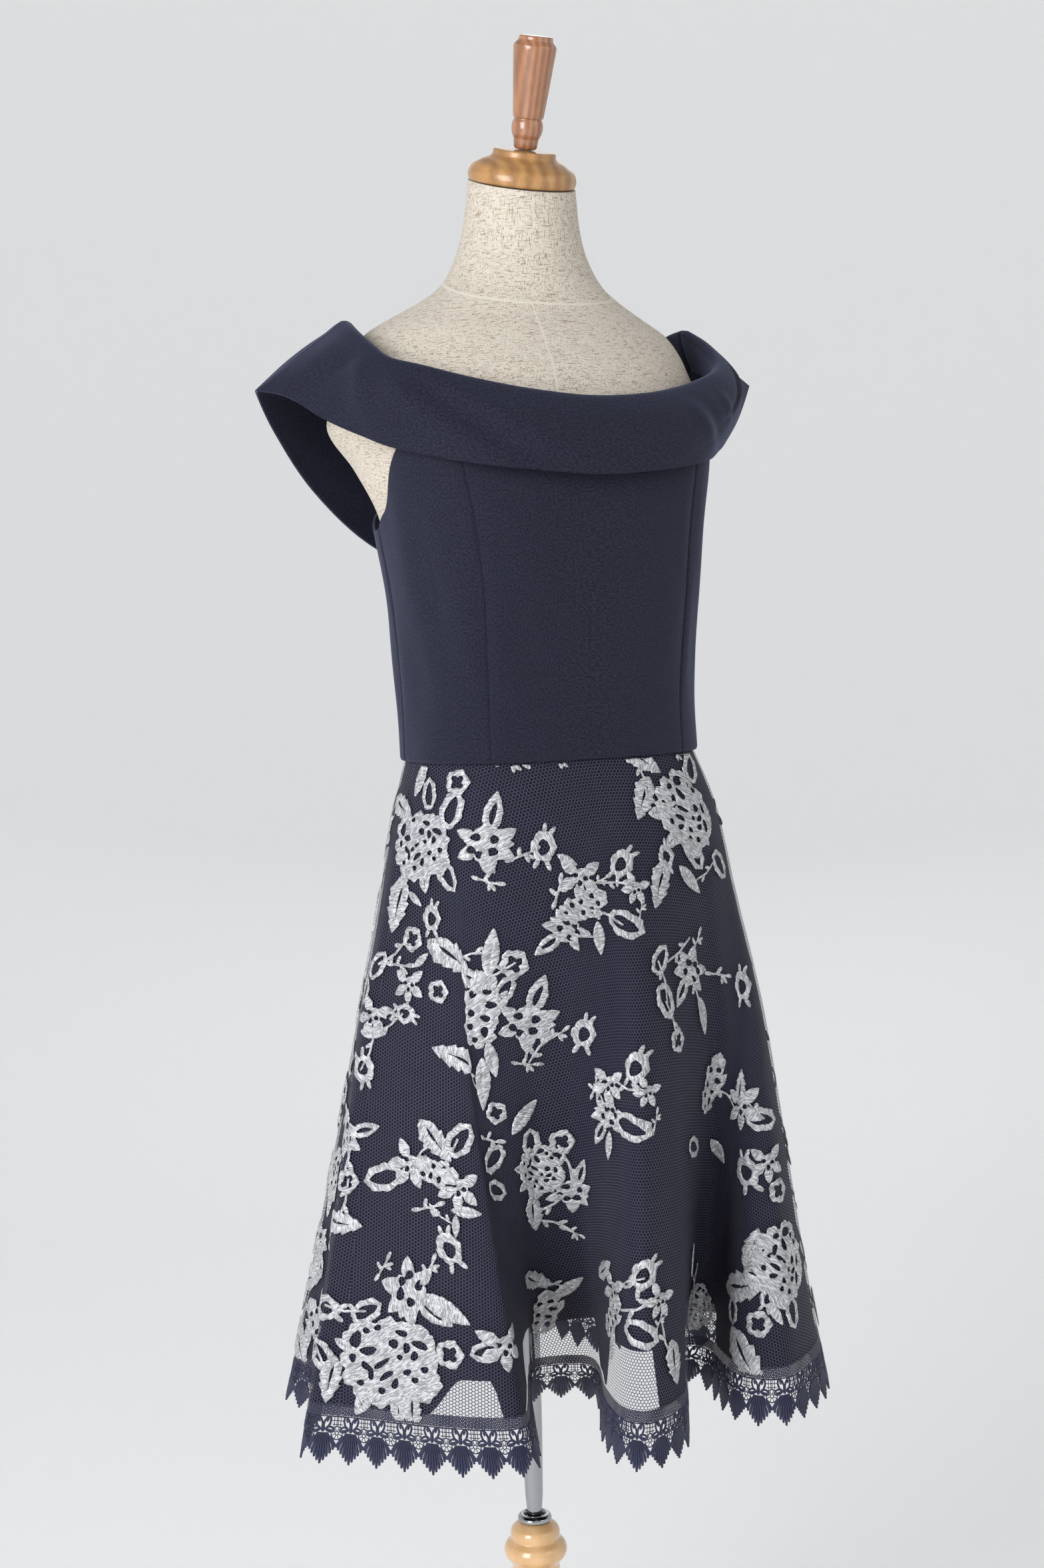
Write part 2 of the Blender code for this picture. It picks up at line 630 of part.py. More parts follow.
def build_lace(look, collection):
    pitch = HEM_CURVE.length / 2 / LACE_REPEATS_PER_HALF
    flat = lace_repeat(pitch)
    top_gap = SEAM_GAP / SKIRT_DROP
    inner_face = skirt_offset(lambda depth: LACE_WALL)
    for name, first in (("lace_trim_front", 0.25), ("lace_trim_back", 0.75)):
        mesh = bmesh.new()
        for repeat in range(LACE_REPEATS_PER_HALF):
            fresh = len(mesh.verts)
            mesh.from_mesh(flat)
            mesh.verts.ensure_lookup_table()
            for vertex in mesh.verts[fresh:]:
                vertex.co.x += (repeat - 0.25) * pitch
        bmesh.ops.remove_doubles(mesh, verts=mesh.verts[:], dist=0.01)
        end_trim = 1.0 - SEAM_GAP / (LACE_REPEATS_PER_HALF * pitch)
        thicken_flat(mesh)
        for vertex in mesh.verts:
            share = first + vertex.co.x * end_trim / HEM_CURVE.length
            depth = NET_HEM + top_gap - vertex.co.y / LACE_HEIGHT * (1.0 - NET_HEM - top_gap)
            bend = inner_face if vertex.co.z > 0.5 else skirt_point
            vertex.co = bend(share, depth) * MM
        finish_mesh(name, mesh, look, collection)


# Dress form and stand

def build_form(look, collection):
    """The padded form: the rings of a sphere moved to the sections."""
    mesh = bmesh.new()
    rings = len(FORM_SECTIONS)
    bmesh.ops.create_uvsphere(mesh, u_segments=FORM_SEGMENTS, v_segments=rings + 1, radius=1.0)
    levels = sorted({round(vertex.co.z, 4) for vertex in mesh.verts})
    for vertex in mesh.verts:
        level = levels.index(round(vertex.co.z, 4))
        ring = min(max(level - 1, 0), rings - 1)
        height, half_width, front, back, centre_y, squareness, tilt = FORM_SECTIONS[ring]
        if level in (0, rings + 1):
            x, y = 0.0, centre_y
        else:
            flat = Vector((vertex.co.x, vertex.co.y)).normalized()
            turn = Vector((0.0, -1.0)).angle_signed(flat) * -1.0
            x, y = oval(turn, half_width, front, back, centre_y, squareness)
        vertex.co = Vector((x, y, height + (y - centre_y) * tan(radians(tilt)))) * MM
    finish_mesh("form_torso", mesh, look, collection, smooth_angle=50.0)


def turned(name, profile, look, collection, steps=28, place=(0.0, 0.0, 0.0), tilt=0.0, closed=False):
    """A turned piece: its profile spun by a Screw modifier."""
    data = bpy.data.meshes.new(name)
    points = [(radius * MM, 0.0, height * MM) for radius, height in profile]
    edges = [(index, index + 1) for index in range(len(points) - 1)]
    if closed:
        edges.append((len(points) - 1, 0))
    data.from_pydata(points, edges, [])
    made = bpy.data.objects.new(name, data)
    collection.objects.link(made)
    made.data.materials.append(look)
    spin = made.modifiers.new("turn", "SCREW")
    spin.steps = steps
    spin.render_steps = steps
    spin.use_merge_vertices = True
    spin.merge_threshold = 0.00005
    spin.use_smooth_shade = True
    made.matrix_world = Matrix.Translation(Vector(place) * MM) @ Matrix.Rotation(radians(tilt), 4, "X")
    return made


def build_stand(looks, collection):
    turned("neck_cap", CAP_PROFILE, looks["oak"], collection, 28, CAP_CENTRE, CAP_TILT)
    up = Matrix.Rotation(radians(CAP_TILT), 3, "X") @ Vector((0.0, 0.0, 27.0))
    turned("finial", FINIAL_PROFILE, looks["walnut"], collection, 20, Vector(CAP_CENTRE) + up, CAP_TILT)
    pole_top = FORM_BOTTOM - SEAM_GAP
    pole_profile = [(0.0, pole_top), (POLE_RADIUS - 0.5, pole_top), (POLE_RADIUS, pole_top - 0.5),
                    (POLE_RADIUS, POLE_BOTTOM), (0.0, POLE_BOTTOM)]
    turned("pole", pole_profile, looks["chrome"], collection, 24)
    turned("pole_ferrule", FERRULE_PROFILE, looks["chrome"], collection, 16, closed=True)
    turned("stand_post", POST_PROFILE, looks["beech"], collection, 24)
    turned("stand_base", BASE_PROFILE, looks["beech"], collection, 32)


def main():
    clear_scene()
    collection = bpy.data.collections.new("off_shoulder_dress_on_form")
    bpy.context.scene.collection.children.link(collection)
    navy = material("navy crepe", (0.014, 0.016, 0.036), 0.75)
    net = material("navy net", (0.012, 0.015, 0.035), 0.7)
    lining = material("navy lining", (0.006, 0.007, 0.015), 0.6)
    lace = material("navy lace", (0.013, 0.017, 0.05), 0.7)
    linen = material("natural linen", (0.60, 0.52, 0.43), 0.9)
    looks = {
        "oak": material("oak", (0.48, 0.24, 0.075), 0.35),
        "walnut": material("red-brown wood", (0.36, 0.13, 0.05), 0.35),
        "chrome": material("chrome", (0.75, 0.75, 0.76), 0.12, 1.0),
        "beech": material("beech", (0.60, 0.36, 0.17), 0.4),
    }
    build_bodice(navy, collection)
    build_collar(navy, collection)
    build_skirt(net, lining, collection)
    build_lace(lace, collection)
    build_form(linen, collection)
    build_stand(looks, collection)


main()
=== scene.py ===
# %% [markdown]
# # An off-shoulder dress on its form
#
# The dress has a plain crepe bodice with a wide folded collar, and a flared skirt of
# embroidered net over a lining, edged with lace. It hangs on a linen form with a turned stand.
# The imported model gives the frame. Every visible piece is then made again, finer, on the same
# surfaces, because cloth needs more points than a solid for physics does.

import bmesh
import bpy
import numpy as np
from math import cos, pi, radians, sin, tan
from mathutils import Matrix, Vector


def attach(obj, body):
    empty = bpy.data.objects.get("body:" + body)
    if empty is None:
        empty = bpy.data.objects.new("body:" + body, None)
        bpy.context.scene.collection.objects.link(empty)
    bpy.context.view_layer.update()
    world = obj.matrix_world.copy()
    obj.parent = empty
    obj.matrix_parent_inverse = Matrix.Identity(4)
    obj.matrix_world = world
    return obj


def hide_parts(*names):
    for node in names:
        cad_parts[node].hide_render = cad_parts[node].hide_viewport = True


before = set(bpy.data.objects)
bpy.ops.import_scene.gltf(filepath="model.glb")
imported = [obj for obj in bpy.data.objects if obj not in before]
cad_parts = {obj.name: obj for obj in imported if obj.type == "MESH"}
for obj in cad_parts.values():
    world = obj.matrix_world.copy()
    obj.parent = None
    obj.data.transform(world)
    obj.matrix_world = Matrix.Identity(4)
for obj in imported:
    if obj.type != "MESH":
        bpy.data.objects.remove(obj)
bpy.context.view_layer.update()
MM = 0.001
print("frame:", len(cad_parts), "nodes")

# %% [markdown]
# ## Small helpers
#
# Cloth is laid out on a grid: rows down the piece, columns along it. One helper turns such a
# grid into a mesh, and another closes two grids into a wall. Working on whole arrays of points
# is much quicker than adding vertices one by one, and it keeps the UV map beside the points.

# %% Grids into meshes
def grid_faces(rows, columns, first=0, turned_over=False):
    """Quads over a grid of points; they face the viewer when columns run right and rows down."""
    corner = first + np.arange(rows - 1)[:, None] * columns + np.arange(columns - 1)[None, :]
    quads = np.stack([corner, corner + columns, corner + columns + 1, corner + 1], -1).reshape(-1, 4)
    return quads[:, ::-1] if turned_over else quads


def make_object(name, points, faces, uv, look, smooth_angle=60.0):
    """Points are in millimetres, uv in metres for each point or for each corner of a face."""
    mesh = bpy.data.meshes.new(name)
    faces = [list(map(int, face)) for face in faces]
    mesh.from_pydata((np.asarray(points) * MM).tolist(), [], faces)
    if uv is not None:
        corners = np.concatenate([np.asarray(face) for face in faces])
        layer = mesh.uv_layers.new(name="UVMap")
        per_corner = uv if len(uv) == len(corners) and len(uv) != len(points) else np.asarray(uv)[corners]
        layer.data.foreach_set("uv", np.asarray(per_corner, dtype=np.float32).ravel())
    mesh.validate()
    mesh.shade_smooth()
    mesh.set_sharp_from_angle(angle=radians(smooth_angle))
    mesh.materials.append(look)
    made = bpy.data.objects.new(name, mesh)
    bpy.context.scene.collection.objects.link(made)
    return made


def wall_object(name, outer, inner, uv, look):
    """A closed wall between two grids of points."""
    rows, columns = outer.shape[:2]
    count = rows * columns
    faces = [grid_faces(rows, columns), grid_faces(rows, columns, count, True)]
    top, bottom = np.arange(columns), np.arange(columns) + (rows - 1) * columns
    left, right = np.arange(rows) * columns, np.arange(rows) * columns + columns - 1
    for edge, flip in ((top, False), (bottom, True), (left, True), (right, False)):
        strip = np.stack([edge[:-1], edge[1:], edge[1:] + count, edge[:-1] + count], -1)
        faces.append(strip[:, ::-1] if flip else strip)
    points = np.concatenate([outer.reshape(-1, 3), inner.reshape(-1, 3)])
    flat = np.concatenate([uv.reshape(-1, 2), uv.reshape(-1, 2)])
    made = make_object(name, points, np.concatenate(faces), flat, look)
    shape = bmesh.new()
    shape.from_mesh(made.data)
    bmesh.ops.recalc_face_normals(shape, faces=shape.faces[:])
    shape.to_mesh(made.data)
    shape.free()
    return made


def smooth_between(table, x):
    """Read a table at every x, on a smooth curve through its rows."""
    table = np.array(sorted(table), float)
    keys, x = table[:, 0], np.asarray(x, float)
    place = np.clip(np.searchsorted(keys, x, side="right"), 1, len(keys) - 1)
    low, high = table[place - 1], table[place]
    before, after = table[np.maximum(place - 2, 0)], table[np.minimum(place + 1, len(keys) - 1)]
    span = high[..., 0] - low[..., 0]
    s = np.clip((x - low[..., 0]) / span, 0.0, 1.0)
    columns = []
    for column in range(1, table.shape[1]):
        a, b = low[..., column], high[..., column]
        slope_a = span * (b - before[..., column]) / (high[..., 0] - before[..., 0])
        slope_b = span * (after[..., column] - a) / (after[..., 0] - low[..., 0])
        columns.append((2 * s**3 - 3 * s**2 + 1) * a + (s**3 - 2 * s**2 + s) * slope_a
                       + (3 * s**2 - 2 * s**3) * b + (s**3 - s**2) * slope_b)
    return columns


def oval(angle, half_width, front_depth, back_depth, centre_y, squareness):
    """A point of a squarish oval; the angle starts at the front and turns to the left."""
    power = 2.0 / squareness
    side, ahead = np.sin(angle), np.cos(angle)
    depth = np.where(ahead > 0, front_depth, back_depth)
    x = half_width * np.abs(side) ** power * np.sign(side)
    return x, centre_y - depth * np.abs(ahead) ** power * np.sign(ahead)


def unit(vectors):
    return vectors / np.maximum(np.linalg.norm(vectors, axis=-1, keepdims=True), 1e-12)


def surface_normal(surface, across, down, step=2e-3):
    """The outward normal where columns run to the viewer's right and rows run down."""
    along = surface(across + step, down) - surface(across - step, down)
    fall = surface(across, down + step) - surface(across, down - step)
    return unit(np.cross(fall, along))


def clustered(count):
    """Shares from 0 to 1 that crowd towards both ends, where a seam bends the cloth."""
    even = np.linspace(0.0, 1.0, count)
    return even - np.sin(2 * pi * even) / (2 * pi) * 0.75


# %% [markdown]
# ## The camera
#
# The photograph was taken from the wearer's right, a little above the bust. The same camera is
# also used to find where on the skirt each embroidered flower sits, so it is set up first.

# %% Camera
PHOTO_SIZE = (1568, 2354)
CAMERA_PLACE = np.array([-0.78813, -1.71144, 1.13729])
CAMERA_TURN, CAMERA_RISE, CAMERA_ROLL = radians(-25.0), radians(4.5), radians(1.8)
FOCAL_PIXELS = 3310.0

camera_back = np.array([sin(CAMERA_TURN) * cos(CAMERA_RISE), -cos(CAMERA_TURN) * cos(CAMERA_RISE),
                        sin(CAMERA_RISE)])
level_right = np.array([cos(CAMERA_TURN), sin(CAMERA_TURN), 0.0])
level_up = np.cross(camera_back, level_right)
camera_right = level_right * cos(CAMERA_ROLL) - level_up * sin(CAMERA_ROLL)
camera_up = level_right * sin(CAMERA_ROLL) + level_up * cos(CAMERA_ROLL)


def photo_pixel(points):
    """Where points in millimetres fall in the photograph, and how far away they are."""
    seen = points * MM - CAMERA_PLACE
    away = -(seen @ camera_back)
    across = PHOTO_SIZE[0] / 2 + FOCAL_PIXELS * (seen @ camera_right) / away
    down = PHOTO_SIZE[1] / 2 - FOCAL_PIXELS * (seen @ camera_up) / away
    return across, down, away


lens = bpy.data.cameras.new("photo camera")
lens.sensor_fit = "VERTICAL"
lens.sensor_height = 36.0
lens.lens = FOCAL_PIXELS / PHOTO_SIZE[1] * lens.sensor_height
lens.clip_end = 50.0
camera = bpy.data.objects.new("photo camera", lens)
bpy.context.scene.collection.objects.link(camera)
camera.matrix_world = Matrix([
    [*(float(axis[row]) for axis in (camera_right, camera_up, camera_back)), float(CAMERA_PLACE[row])]
    for row in range(3)
] + [[0.0, 0.0, 0.0, 1.0]])
bpy.context.scene.camera = camera
print("lens", round(lens.lens, 2), "mm")

# %% [markdown]
# ## Stage and light
#
# A wide round cyclorama, floor and wall in one sheet, stays behind the dress from any side.
# The room's window is to the wearer's right, so the large soft light stands there, and a weaker
# one fills from the other side. Dark cloth needs this contrast for its folds to show.

# %% Cyclorama
CYCLORAMA_RADIUS, CYCLORAMA_BEND, CYCLORAMA_HEIGHT = 5.6, 3.4, 6.0
WALL_GLOW = 0.13


def plain_look(name, colour, roughness, metallic=0.0):
    made = bpy.data.materials.new(name)
    made.use_nodes = True
    shader = made.node_tree.nodes["Principled BSDF"]
    shader.inputs["Base Color"].default_value = (*colour, 1.0)
    shader.inputs["Roughness"].default_value = roughness
    shader.inputs["Metallic"].default_value = metallic
    return made


def make_cyclorama():
    profile = [(0.001, 0.0), (CYCLORAMA_RADIUS - CYCLORAMA_BEND, 0.0)]
    for turn in np.linspace(0.0, pi / 2, 25)[1:]:
        profile.append((CYCLORAMA_RADIUS - CYCLORAMA_BEND + CYCLORAMA_BEND * sin(turn),
                        CYCLORAMA_BEND * (1 - cos(turn))))
    profile.append((CYCLORAMA_RADIUS, CYCLORAMA_HEIGHT))
    turns = np.linspace(0.0, 2 * pi, 97)
    points = np.array([[(r * cos(t), r * sin(t), z) for t in turns] for r, z in profile]) / MM
    wall = plain_look("wall paint", (0.90, 0.895, 0.885), 0.9)
    paint = wall.node_tree.nodes["Principled BSDF"]
    paint.inputs["Emission Color"].default_value = (0.95, 0.98, 1.0, 1.0)
    paint.inputs["Emission Strength"].default_value = WALL_GLOW
    made = make_object("cyclorama", points.reshape(-1, 3), grid_faces(len(profile), len(turns)), None, wall)


make_cyclorama()

# %% Lights
def area_light(name, place, aim, size, power, colour):
    data = bpy.data.lights.new(name, "AREA")
    data.shape = "RECTANGLE"
    data.size, data.size_y = size
    data.energy = power
    data.color = colour
    made = bpy.data.objects.new(name, data)
    made.visible_camera = False
    bpy.context.scene.collection.objects.link(made)
    direction = Vector(aim) - Vector(place)
    made.matrix_world = (Matrix.Translation(Vector(place))
                         @ direction.to_track_quat("-Z", "Y").to_matrix().to_4x4())


area_light("window", (-2.6, -1.5, 1.7), (0.0, 0.0, 0.9), (1.4, 2.2), 78.0, (0.96, 0.98, 1.0))
area_light("room fill", (1.6, -2.6, 2.2), (0.0, 0.0, 0.9), (2.0, 2.0), 11.0, (1.0, 0.98, 0.95))
area_light("back fill", (1.6, 2.8, 2.2), (0.0, 0.0, 0.9), (2.0, 2.0), 9.0, (0.98, 0.99, 1.0))
world = bpy.data.worlds.new("pale room")
world.use_nodes = True
world.node_tree.nodes["Background"].inputs["Color"].default_value = (0.93, 0.95, 1.0, 1.0)
world.node_tree.nodes["Background"].inputs["Strength"].default_value = 0.34
bpy.context.scene.world = world
bpy.context.scene.view_settings.view_transform = "Standard"

# %% [markdown]
# ## Finishes
#
# Each cloth has its own material. Parts that several materials share, such as a soft change of
# colour or the fine grain of a yarn, are shader node groups with named inputs. Cloth patterns
# read the UV map, which holds the flat cut in metres, so a weave runs as it was cut.

# %% Node helpers
def new_group(name, inputs, outputs):
    """A shader node group; inputs are (name, kind, default), outputs are (name, kind)."""
    group = bpy.data.node_groups.new(name, "ShaderNodeTree")
    kinds = {"float": "NodeSocketFloat", "vector": "NodeSocketVector", "colour": "NodeSocketColor"}
    for label, kind, default in inputs:
        socket = group.interface.new_socket(name=label, in_out="INPUT", socket_type=kinds[kind])
        if default is not None:
            socket.default_value = default
    for label, kind in outputs:
        group.interface.new_socket(name=label, in_out="OUTPUT", socket_type=kinds[kind])
    return group, group.nodes.new("NodeGroupInput"), group.nodes.new("NodeGroupOutput")


def wired(tree, kind, settings=None, **inputs):
    """Add a node; an input is a socket to link from or a value to set."""
    node = tree.nodes.new(kind)
    for key, value in (settings or {}).items():
        setattr(node, key, value)
    for key, value in inputs.items():
        name = key.replace("_", " ")
        socket = node.inputs[int(key[2:])] if key.startswith("in") and key[2:].isdigit() else node.inputs[name]
        if isinstance(value, bpy.types.NodeSocket):
            tree.links.new(value, socket)
        else:
            socket.default_value = value
    return node


def maths(tree, operation, *values, clamp=False):
    node = tree.nodes.new("ShaderNodeMath")
    node.operation = operation
    node.use_clamp = clamp
    for socket, value in zip(node.inputs, values):
        if isinstance(value, bpy.types.NodeSocket):
            tree.links.new(value, socket)
        else:
            socket.default_value = value
    return node.outputs[0]


def vector_maths(tree, operation, *values):
    node = tree.nodes.new("ShaderNodeVectorMath")
    node.operation = operation
    for socket, value in zip(node.inputs, values):
        if isinstance(value, bpy.types.NodeSocket):
            tree.links.new(value, socket)
        else:
            socket.default_value = value
    return node.outputs["Value"] if operation in ("LENGTH", "DOT_PRODUCT") else node.outputs[0]


def mix_colour(tree, share, first, second, blend="MIX"):
    node = tree.nodes.new("ShaderNodeMix")
    node.data_type = "RGBA"
    node.blend_type = blend
    for socket, value in ((node.inputs[0], share), (node.inputs[6], first), (node.inputs[7], second)):
        if isinstance(value, bpy.types.NodeSocket):
            tree.links.new(value, socket)
        else:
            socket.default_value = (*value, 1.0) if isinstance(value, tuple) and len(value) == 3 else value
    return node.outputs[2]


def start_look(name, roughness, metallic=0.0, **plain):
    made = plain_look(name, (0.5, 0.5, 0.5), roughness, metallic)
    shader = made.node_tree.nodes["Principled BSDF"]
    for key, value in plain.items():
        shader.inputs[key.replace("_", " ")].default_value = value
    return made, made.node_tree, shader


# %% Shared groups: soft mottle, hexagonal net, thread rows
def soft_mottle_group():
    """Two soft noises mixed into a value around 1, for uneven dye, dust and wear."""
    group, given, result = new_group(
        "soft mottle",
        [("Vector", "vector", None), ("Scale", "float", 20.0), ("Amount", "float", 0.1)],
        [("Value", "float")])
    broad = wired(group, "ShaderNodeTexNoise", Vector=given.outputs["Vector"],
                  Scale=given.outputs["Scale"], Detail=4.0)
    centred = maths(group, "SUBTRACT", broad.outputs["Fac"], 0.5)
    spread = maths(group, "MULTIPLY", centred, given.outputs["Amount"])
    group.links.new(maths(group, "MULTIPLY_ADD", spread, 4.0, 1.0), result.inputs["Value"])
    return group


def hexagon_net_group():
    """A net of hexagons: 1 on a thread, 0 in a hole, and a round height across each thread."""
    group, given, result = new_group(
        "hexagon net",
        [("Vector", "vector", None), ("Cell", "float", 0.003), ("Thread", "float", 0.2)],
        [("Mask", "float"), ("Height", "float")])
    scaled = wired(group, "ShaderNodeVectorMath", {"operation": "DIVIDE"}, in0=given.outputs["Vector"])
    size = wired(group, "ShaderNodeCombineXYZ", X=given.outputs["Cell"], Y=given.outputs["Cell"], Z=1.0)
    group.links.new(size.outputs[0], scaled.inputs[1])
    flat = vector_maths(group, "MULTIPLY", scaled.outputs[0], (1.0, 1.0, 0.0))
    period = (1.0, 3**0.5, 1.0)
    half = (0.5, 3**0.5 / 2, 0.0)

    def folded(shift):
        moved = vector_maths(group, "ADD", flat, (1000.0 + shift[0], 1000.0 * period[1] + shift[1], 0.0))
        wrapped = vector_maths(group, "MODULO", moved, period)
        return vector_maths(group, "SUBTRACT", wrapped, half)

    near, far = folded((0.0, 0.0)), folded((0.5, 3**0.5 / 2))
    closer = maths(group, "LESS_THAN", vector_maths(group, "LENGTH", near), vector_maths(group, "LENGTH", far))
    pick = wired(group, "ShaderNodeMix", {"data_type": "VECTOR"}, in0=closer)
    group.links.new(far, pick.inputs[4])
    group.links.new(near, pick.inputs[5])
    mirrored = vector_maths(group, "ABSOLUTE", pick.outputs[1])
    slanted = vector_maths(group, "DOT_PRODUCT", mirrored, (0.5, 3**0.5 / 2, 0.0))
    upright = vector_maths(group, "DOT_PRODUCT", mirrored, (1.0, 0.0, 0.0))
    edge = maths(group, "SUBTRACT", 0.5, maths(group, "MAXIMUM", slanted, upright))
    inside = maths(group, "DIVIDE", edge, given.outputs["Thread"])
    group.links.new(maths(group, "LESS_THAN", inside, 1.0), result.inputs["Mask"])
    group.links.new(maths(group, "SUBTRACT", 1.0, inside, clamp=True), result.inputs["Height"])
    return group


def thread_rows_group():
    """Short threads laid side by side in staggered rows, each with its own painted glint, and painted shade in the
    gaps.
    """
    group, given, result = new_group(
        "thread rows",
        [("Vector", "vector", None), ("Length", "float", 2.6), ("Width", "float", 0.5), ("Gap", "float", 0.06)],
        [("Shade", "float"), ("Height", "float")])
    wobble = wired(group, "ShaderNodeTexNoise", Vector=given.outputs["Vector"], Scale=0.35, Detail=2.0)
    shift = vector_maths(group, "SUBTRACT", wobble.outputs["Color"], (0.5, 0.5, 0.5))
    bent = vector_maths(group, "ADD", given.outputs["Vector"], vector_maths(group, "MULTIPLY", shift, (1.6, 1.0, 0.0)))
    bricks = wired(group, "ShaderNodeTexBrick", {"offset": 0.37, "offset_frequency": 2},
                   Vector=bent, Color1=(1.0, 1.0, 1.0, 1.0), Color2=(0.0, 0.0, 0.0, 1.0),
                   Mortar=(0.0, 0.0, 0.0, 1.0), Scale=1.0, Mortar_Size=given.outputs["Gap"],
                   Mortar_Smooth=0.6, Bias=0.1, Brick_Width=given.outputs["Length"],
                   Row_Height=given.outputs["Width"])
    # Shade output: a random brightness for each thread, a painted glint that stands for how it catches the light.
    group.links.new(bricks.outputs["Color"], result.inputs["Shade"])
    group.links.new(maths(group, "SUBTRACT", 1.0, bricks.outputs["Fac"]), result.inputs["Height"])
    return group


SOFT_MOTTLE = soft_mottle_group()
HEXAGON_NET = hexagon_net_group()
THREAD_ROWS = thread_rows_group()


def grouped(tree, group, **inputs):
    node = tree.nodes.new("ShaderNodeGroup")
    node.node_tree = group
    for key, value in inputs.items():
        if isinstance(value, bpy.types.NodeSocket):
            tree.links.new(value, node.inputs[key])
        else:
            node.inputs[key].default_value = value
    return node


def coloured(tree, shader, value, dark, light):
    """Run a value between two colours into the shader's base colour."""
    ramp = mix_colour(tree, value, dark, light)
    tree.links.new(ramp, shader.inputs["Base Color"])
    return ramp


def bumped(tree, shader, height, distance, strength=1.0):
    bump = wired(tree, "ShaderNodeBump", Height=height, Distance=distance, Strength=strength)
    tree.links.new(bump.outputs[0], shader.inputs["Normal"])
    return bump


# %% [markdown]
# ## Crepe, net, lining and thread
#
# The bodice is a matt scuba crepe: nearly plain, with a fine pebbled grain. The net is knotted
# in hexagons of about three millimetres, and its holes are cut out with Alpha so that the wall
# shows through where no lining hangs behind it; each thread is painted lighter on its crest, a
# painted highlight. The embroidery thread is a silvery rayon, laid in short slanting stitches.
# How each stitch catches the light is painted into its colour as a painted glint, with painted
# shade in the gaps between stitches.

# %% Cloth materials
def crepe_look(name, dark, light):
    made, tree, shader = start_look(name, 0.82, Sheen_Weight=0.22, Sheen_Roughness=0.45,
                                    Specular_IOR_Level=0.22)
    shader.inputs["Sheen Tint"].default_value = (0.55, 0.62, 0.95, 1.0)
    flat = wired(tree, "ShaderNodeUVMap", {"uv_map": "UVMap"})
    mottle = grouped(tree, SOFT_MOTTLE, Vector=flat.outputs[0], Scale=60.0, Amount=0.12)
    pebble = wired(tree, "ShaderNodeTexNoise", Vector=flat.outputs[0], Scale=620.0, Detail=3.0)
    grain = wired(tree, "ShaderNodeMapRange", Value=pebble.outputs["Fac"], From_Min=0.36, From_Max=0.66).outputs[0]
    value = maths(tree, "MULTIPLY", maths(tree, "MULTIPLY", grain, mottle.outputs[0]), 0.9, clamp=True)
    coloured(tree, shader, value, dark, light)
    bumped(tree, shader, pebble.outputs["Fac"], 0.0008, 0.8)
    return made


def net_look(name, cell, thread, dark, light):
    made, tree, shader = start_look(name, 0.55, Sheen_Weight=0.1, Specular_IOR_Level=0.4)
    flat = wired(tree, "ShaderNodeUVMap", {"uv_map": "UVMap"})
    net = grouped(tree, HEXAGON_NET, Vector=flat.outputs[0], Cell=cell, Thread=thread)
    mottle = grouped(tree, SOFT_MOTTLE, Vector=flat.outputs[0], Scale=40.0, Amount=0.18)
    # Colour follows the thread's round height: a painted highlight on its crest, painted shade at its flanks.
    coloured(tree, shader, maths(tree, "MULTIPLY", net.outputs["Height"], mottle.outputs[0], clamp=True),
             dark, light)
    tree.links.new(net.outputs["Mask"], shader.inputs["Alpha"])
    bumped(tree, shader, net.outputs["Height"], 0.0003, 0.8)
    return made


def lining_look():
    made, tree, shader = start_look("black-navy lining", 0.7, Specular_IOR_Level=0.3)
    flat = wired(tree, "ShaderNodeUVMap", {"uv_map": "UVMap"})
    mottle = grouped(tree, SOFT_MOTTLE, Vector=flat.outputs[0], Scale=30.0, Amount=0.15)
    weave = wired(tree, "ShaderNodeTexWave", Vector=flat.outputs[0], Scale=700.0, Distortion=0.6)
    value = maths(tree, "MULTIPLY", mottle.outputs[0], 0.5, clamp=True)
    coloured(tree, shader, value, (0.004, 0.004, 0.010), (0.013, 0.014, 0.032))
    bumped(tree, shader, weave.outputs["Fac"], 0.0001, 0.4)
    return made


def thread_look(name, dark, light, metallic, roughness, length, width, gap, relief):
    """Thread laid in rows; the UV map holds millimetres along and across the stitches."""
    made, tree, shader = start_look(name, roughness, metallic, Sheen_Weight=0.1)
    flat = wired(tree, "ShaderNodeUVMap", {"uv_map": "UVMap"})
    rows = grouped(tree, THREAD_ROWS, Vector=flat.outputs[0], Length=length, Width=width, Gap=gap)
    mottle = grouped(tree, SOFT_MOTTLE, Vector=flat.outputs[0], Scale=0.06, Amount=0.2)
    # Painted light: each stitch's painted glint times its height, so the gaps between stitches carry painted shade.
    painted_glint = maths(tree, "MULTIPLY_ADD", rows.outputs["Shade"], 0.72, 0.28)
    lit = maths(tree, "MULTIPLY", painted_glint, rows.outputs["Height"])
    coloured(tree, shader, maths(tree, "MULTIPLY", lit, mottle.outputs[0], clamp=True), dark, light)
    bumped(tree, shader, rows.outputs["Height"], relief)
    return made


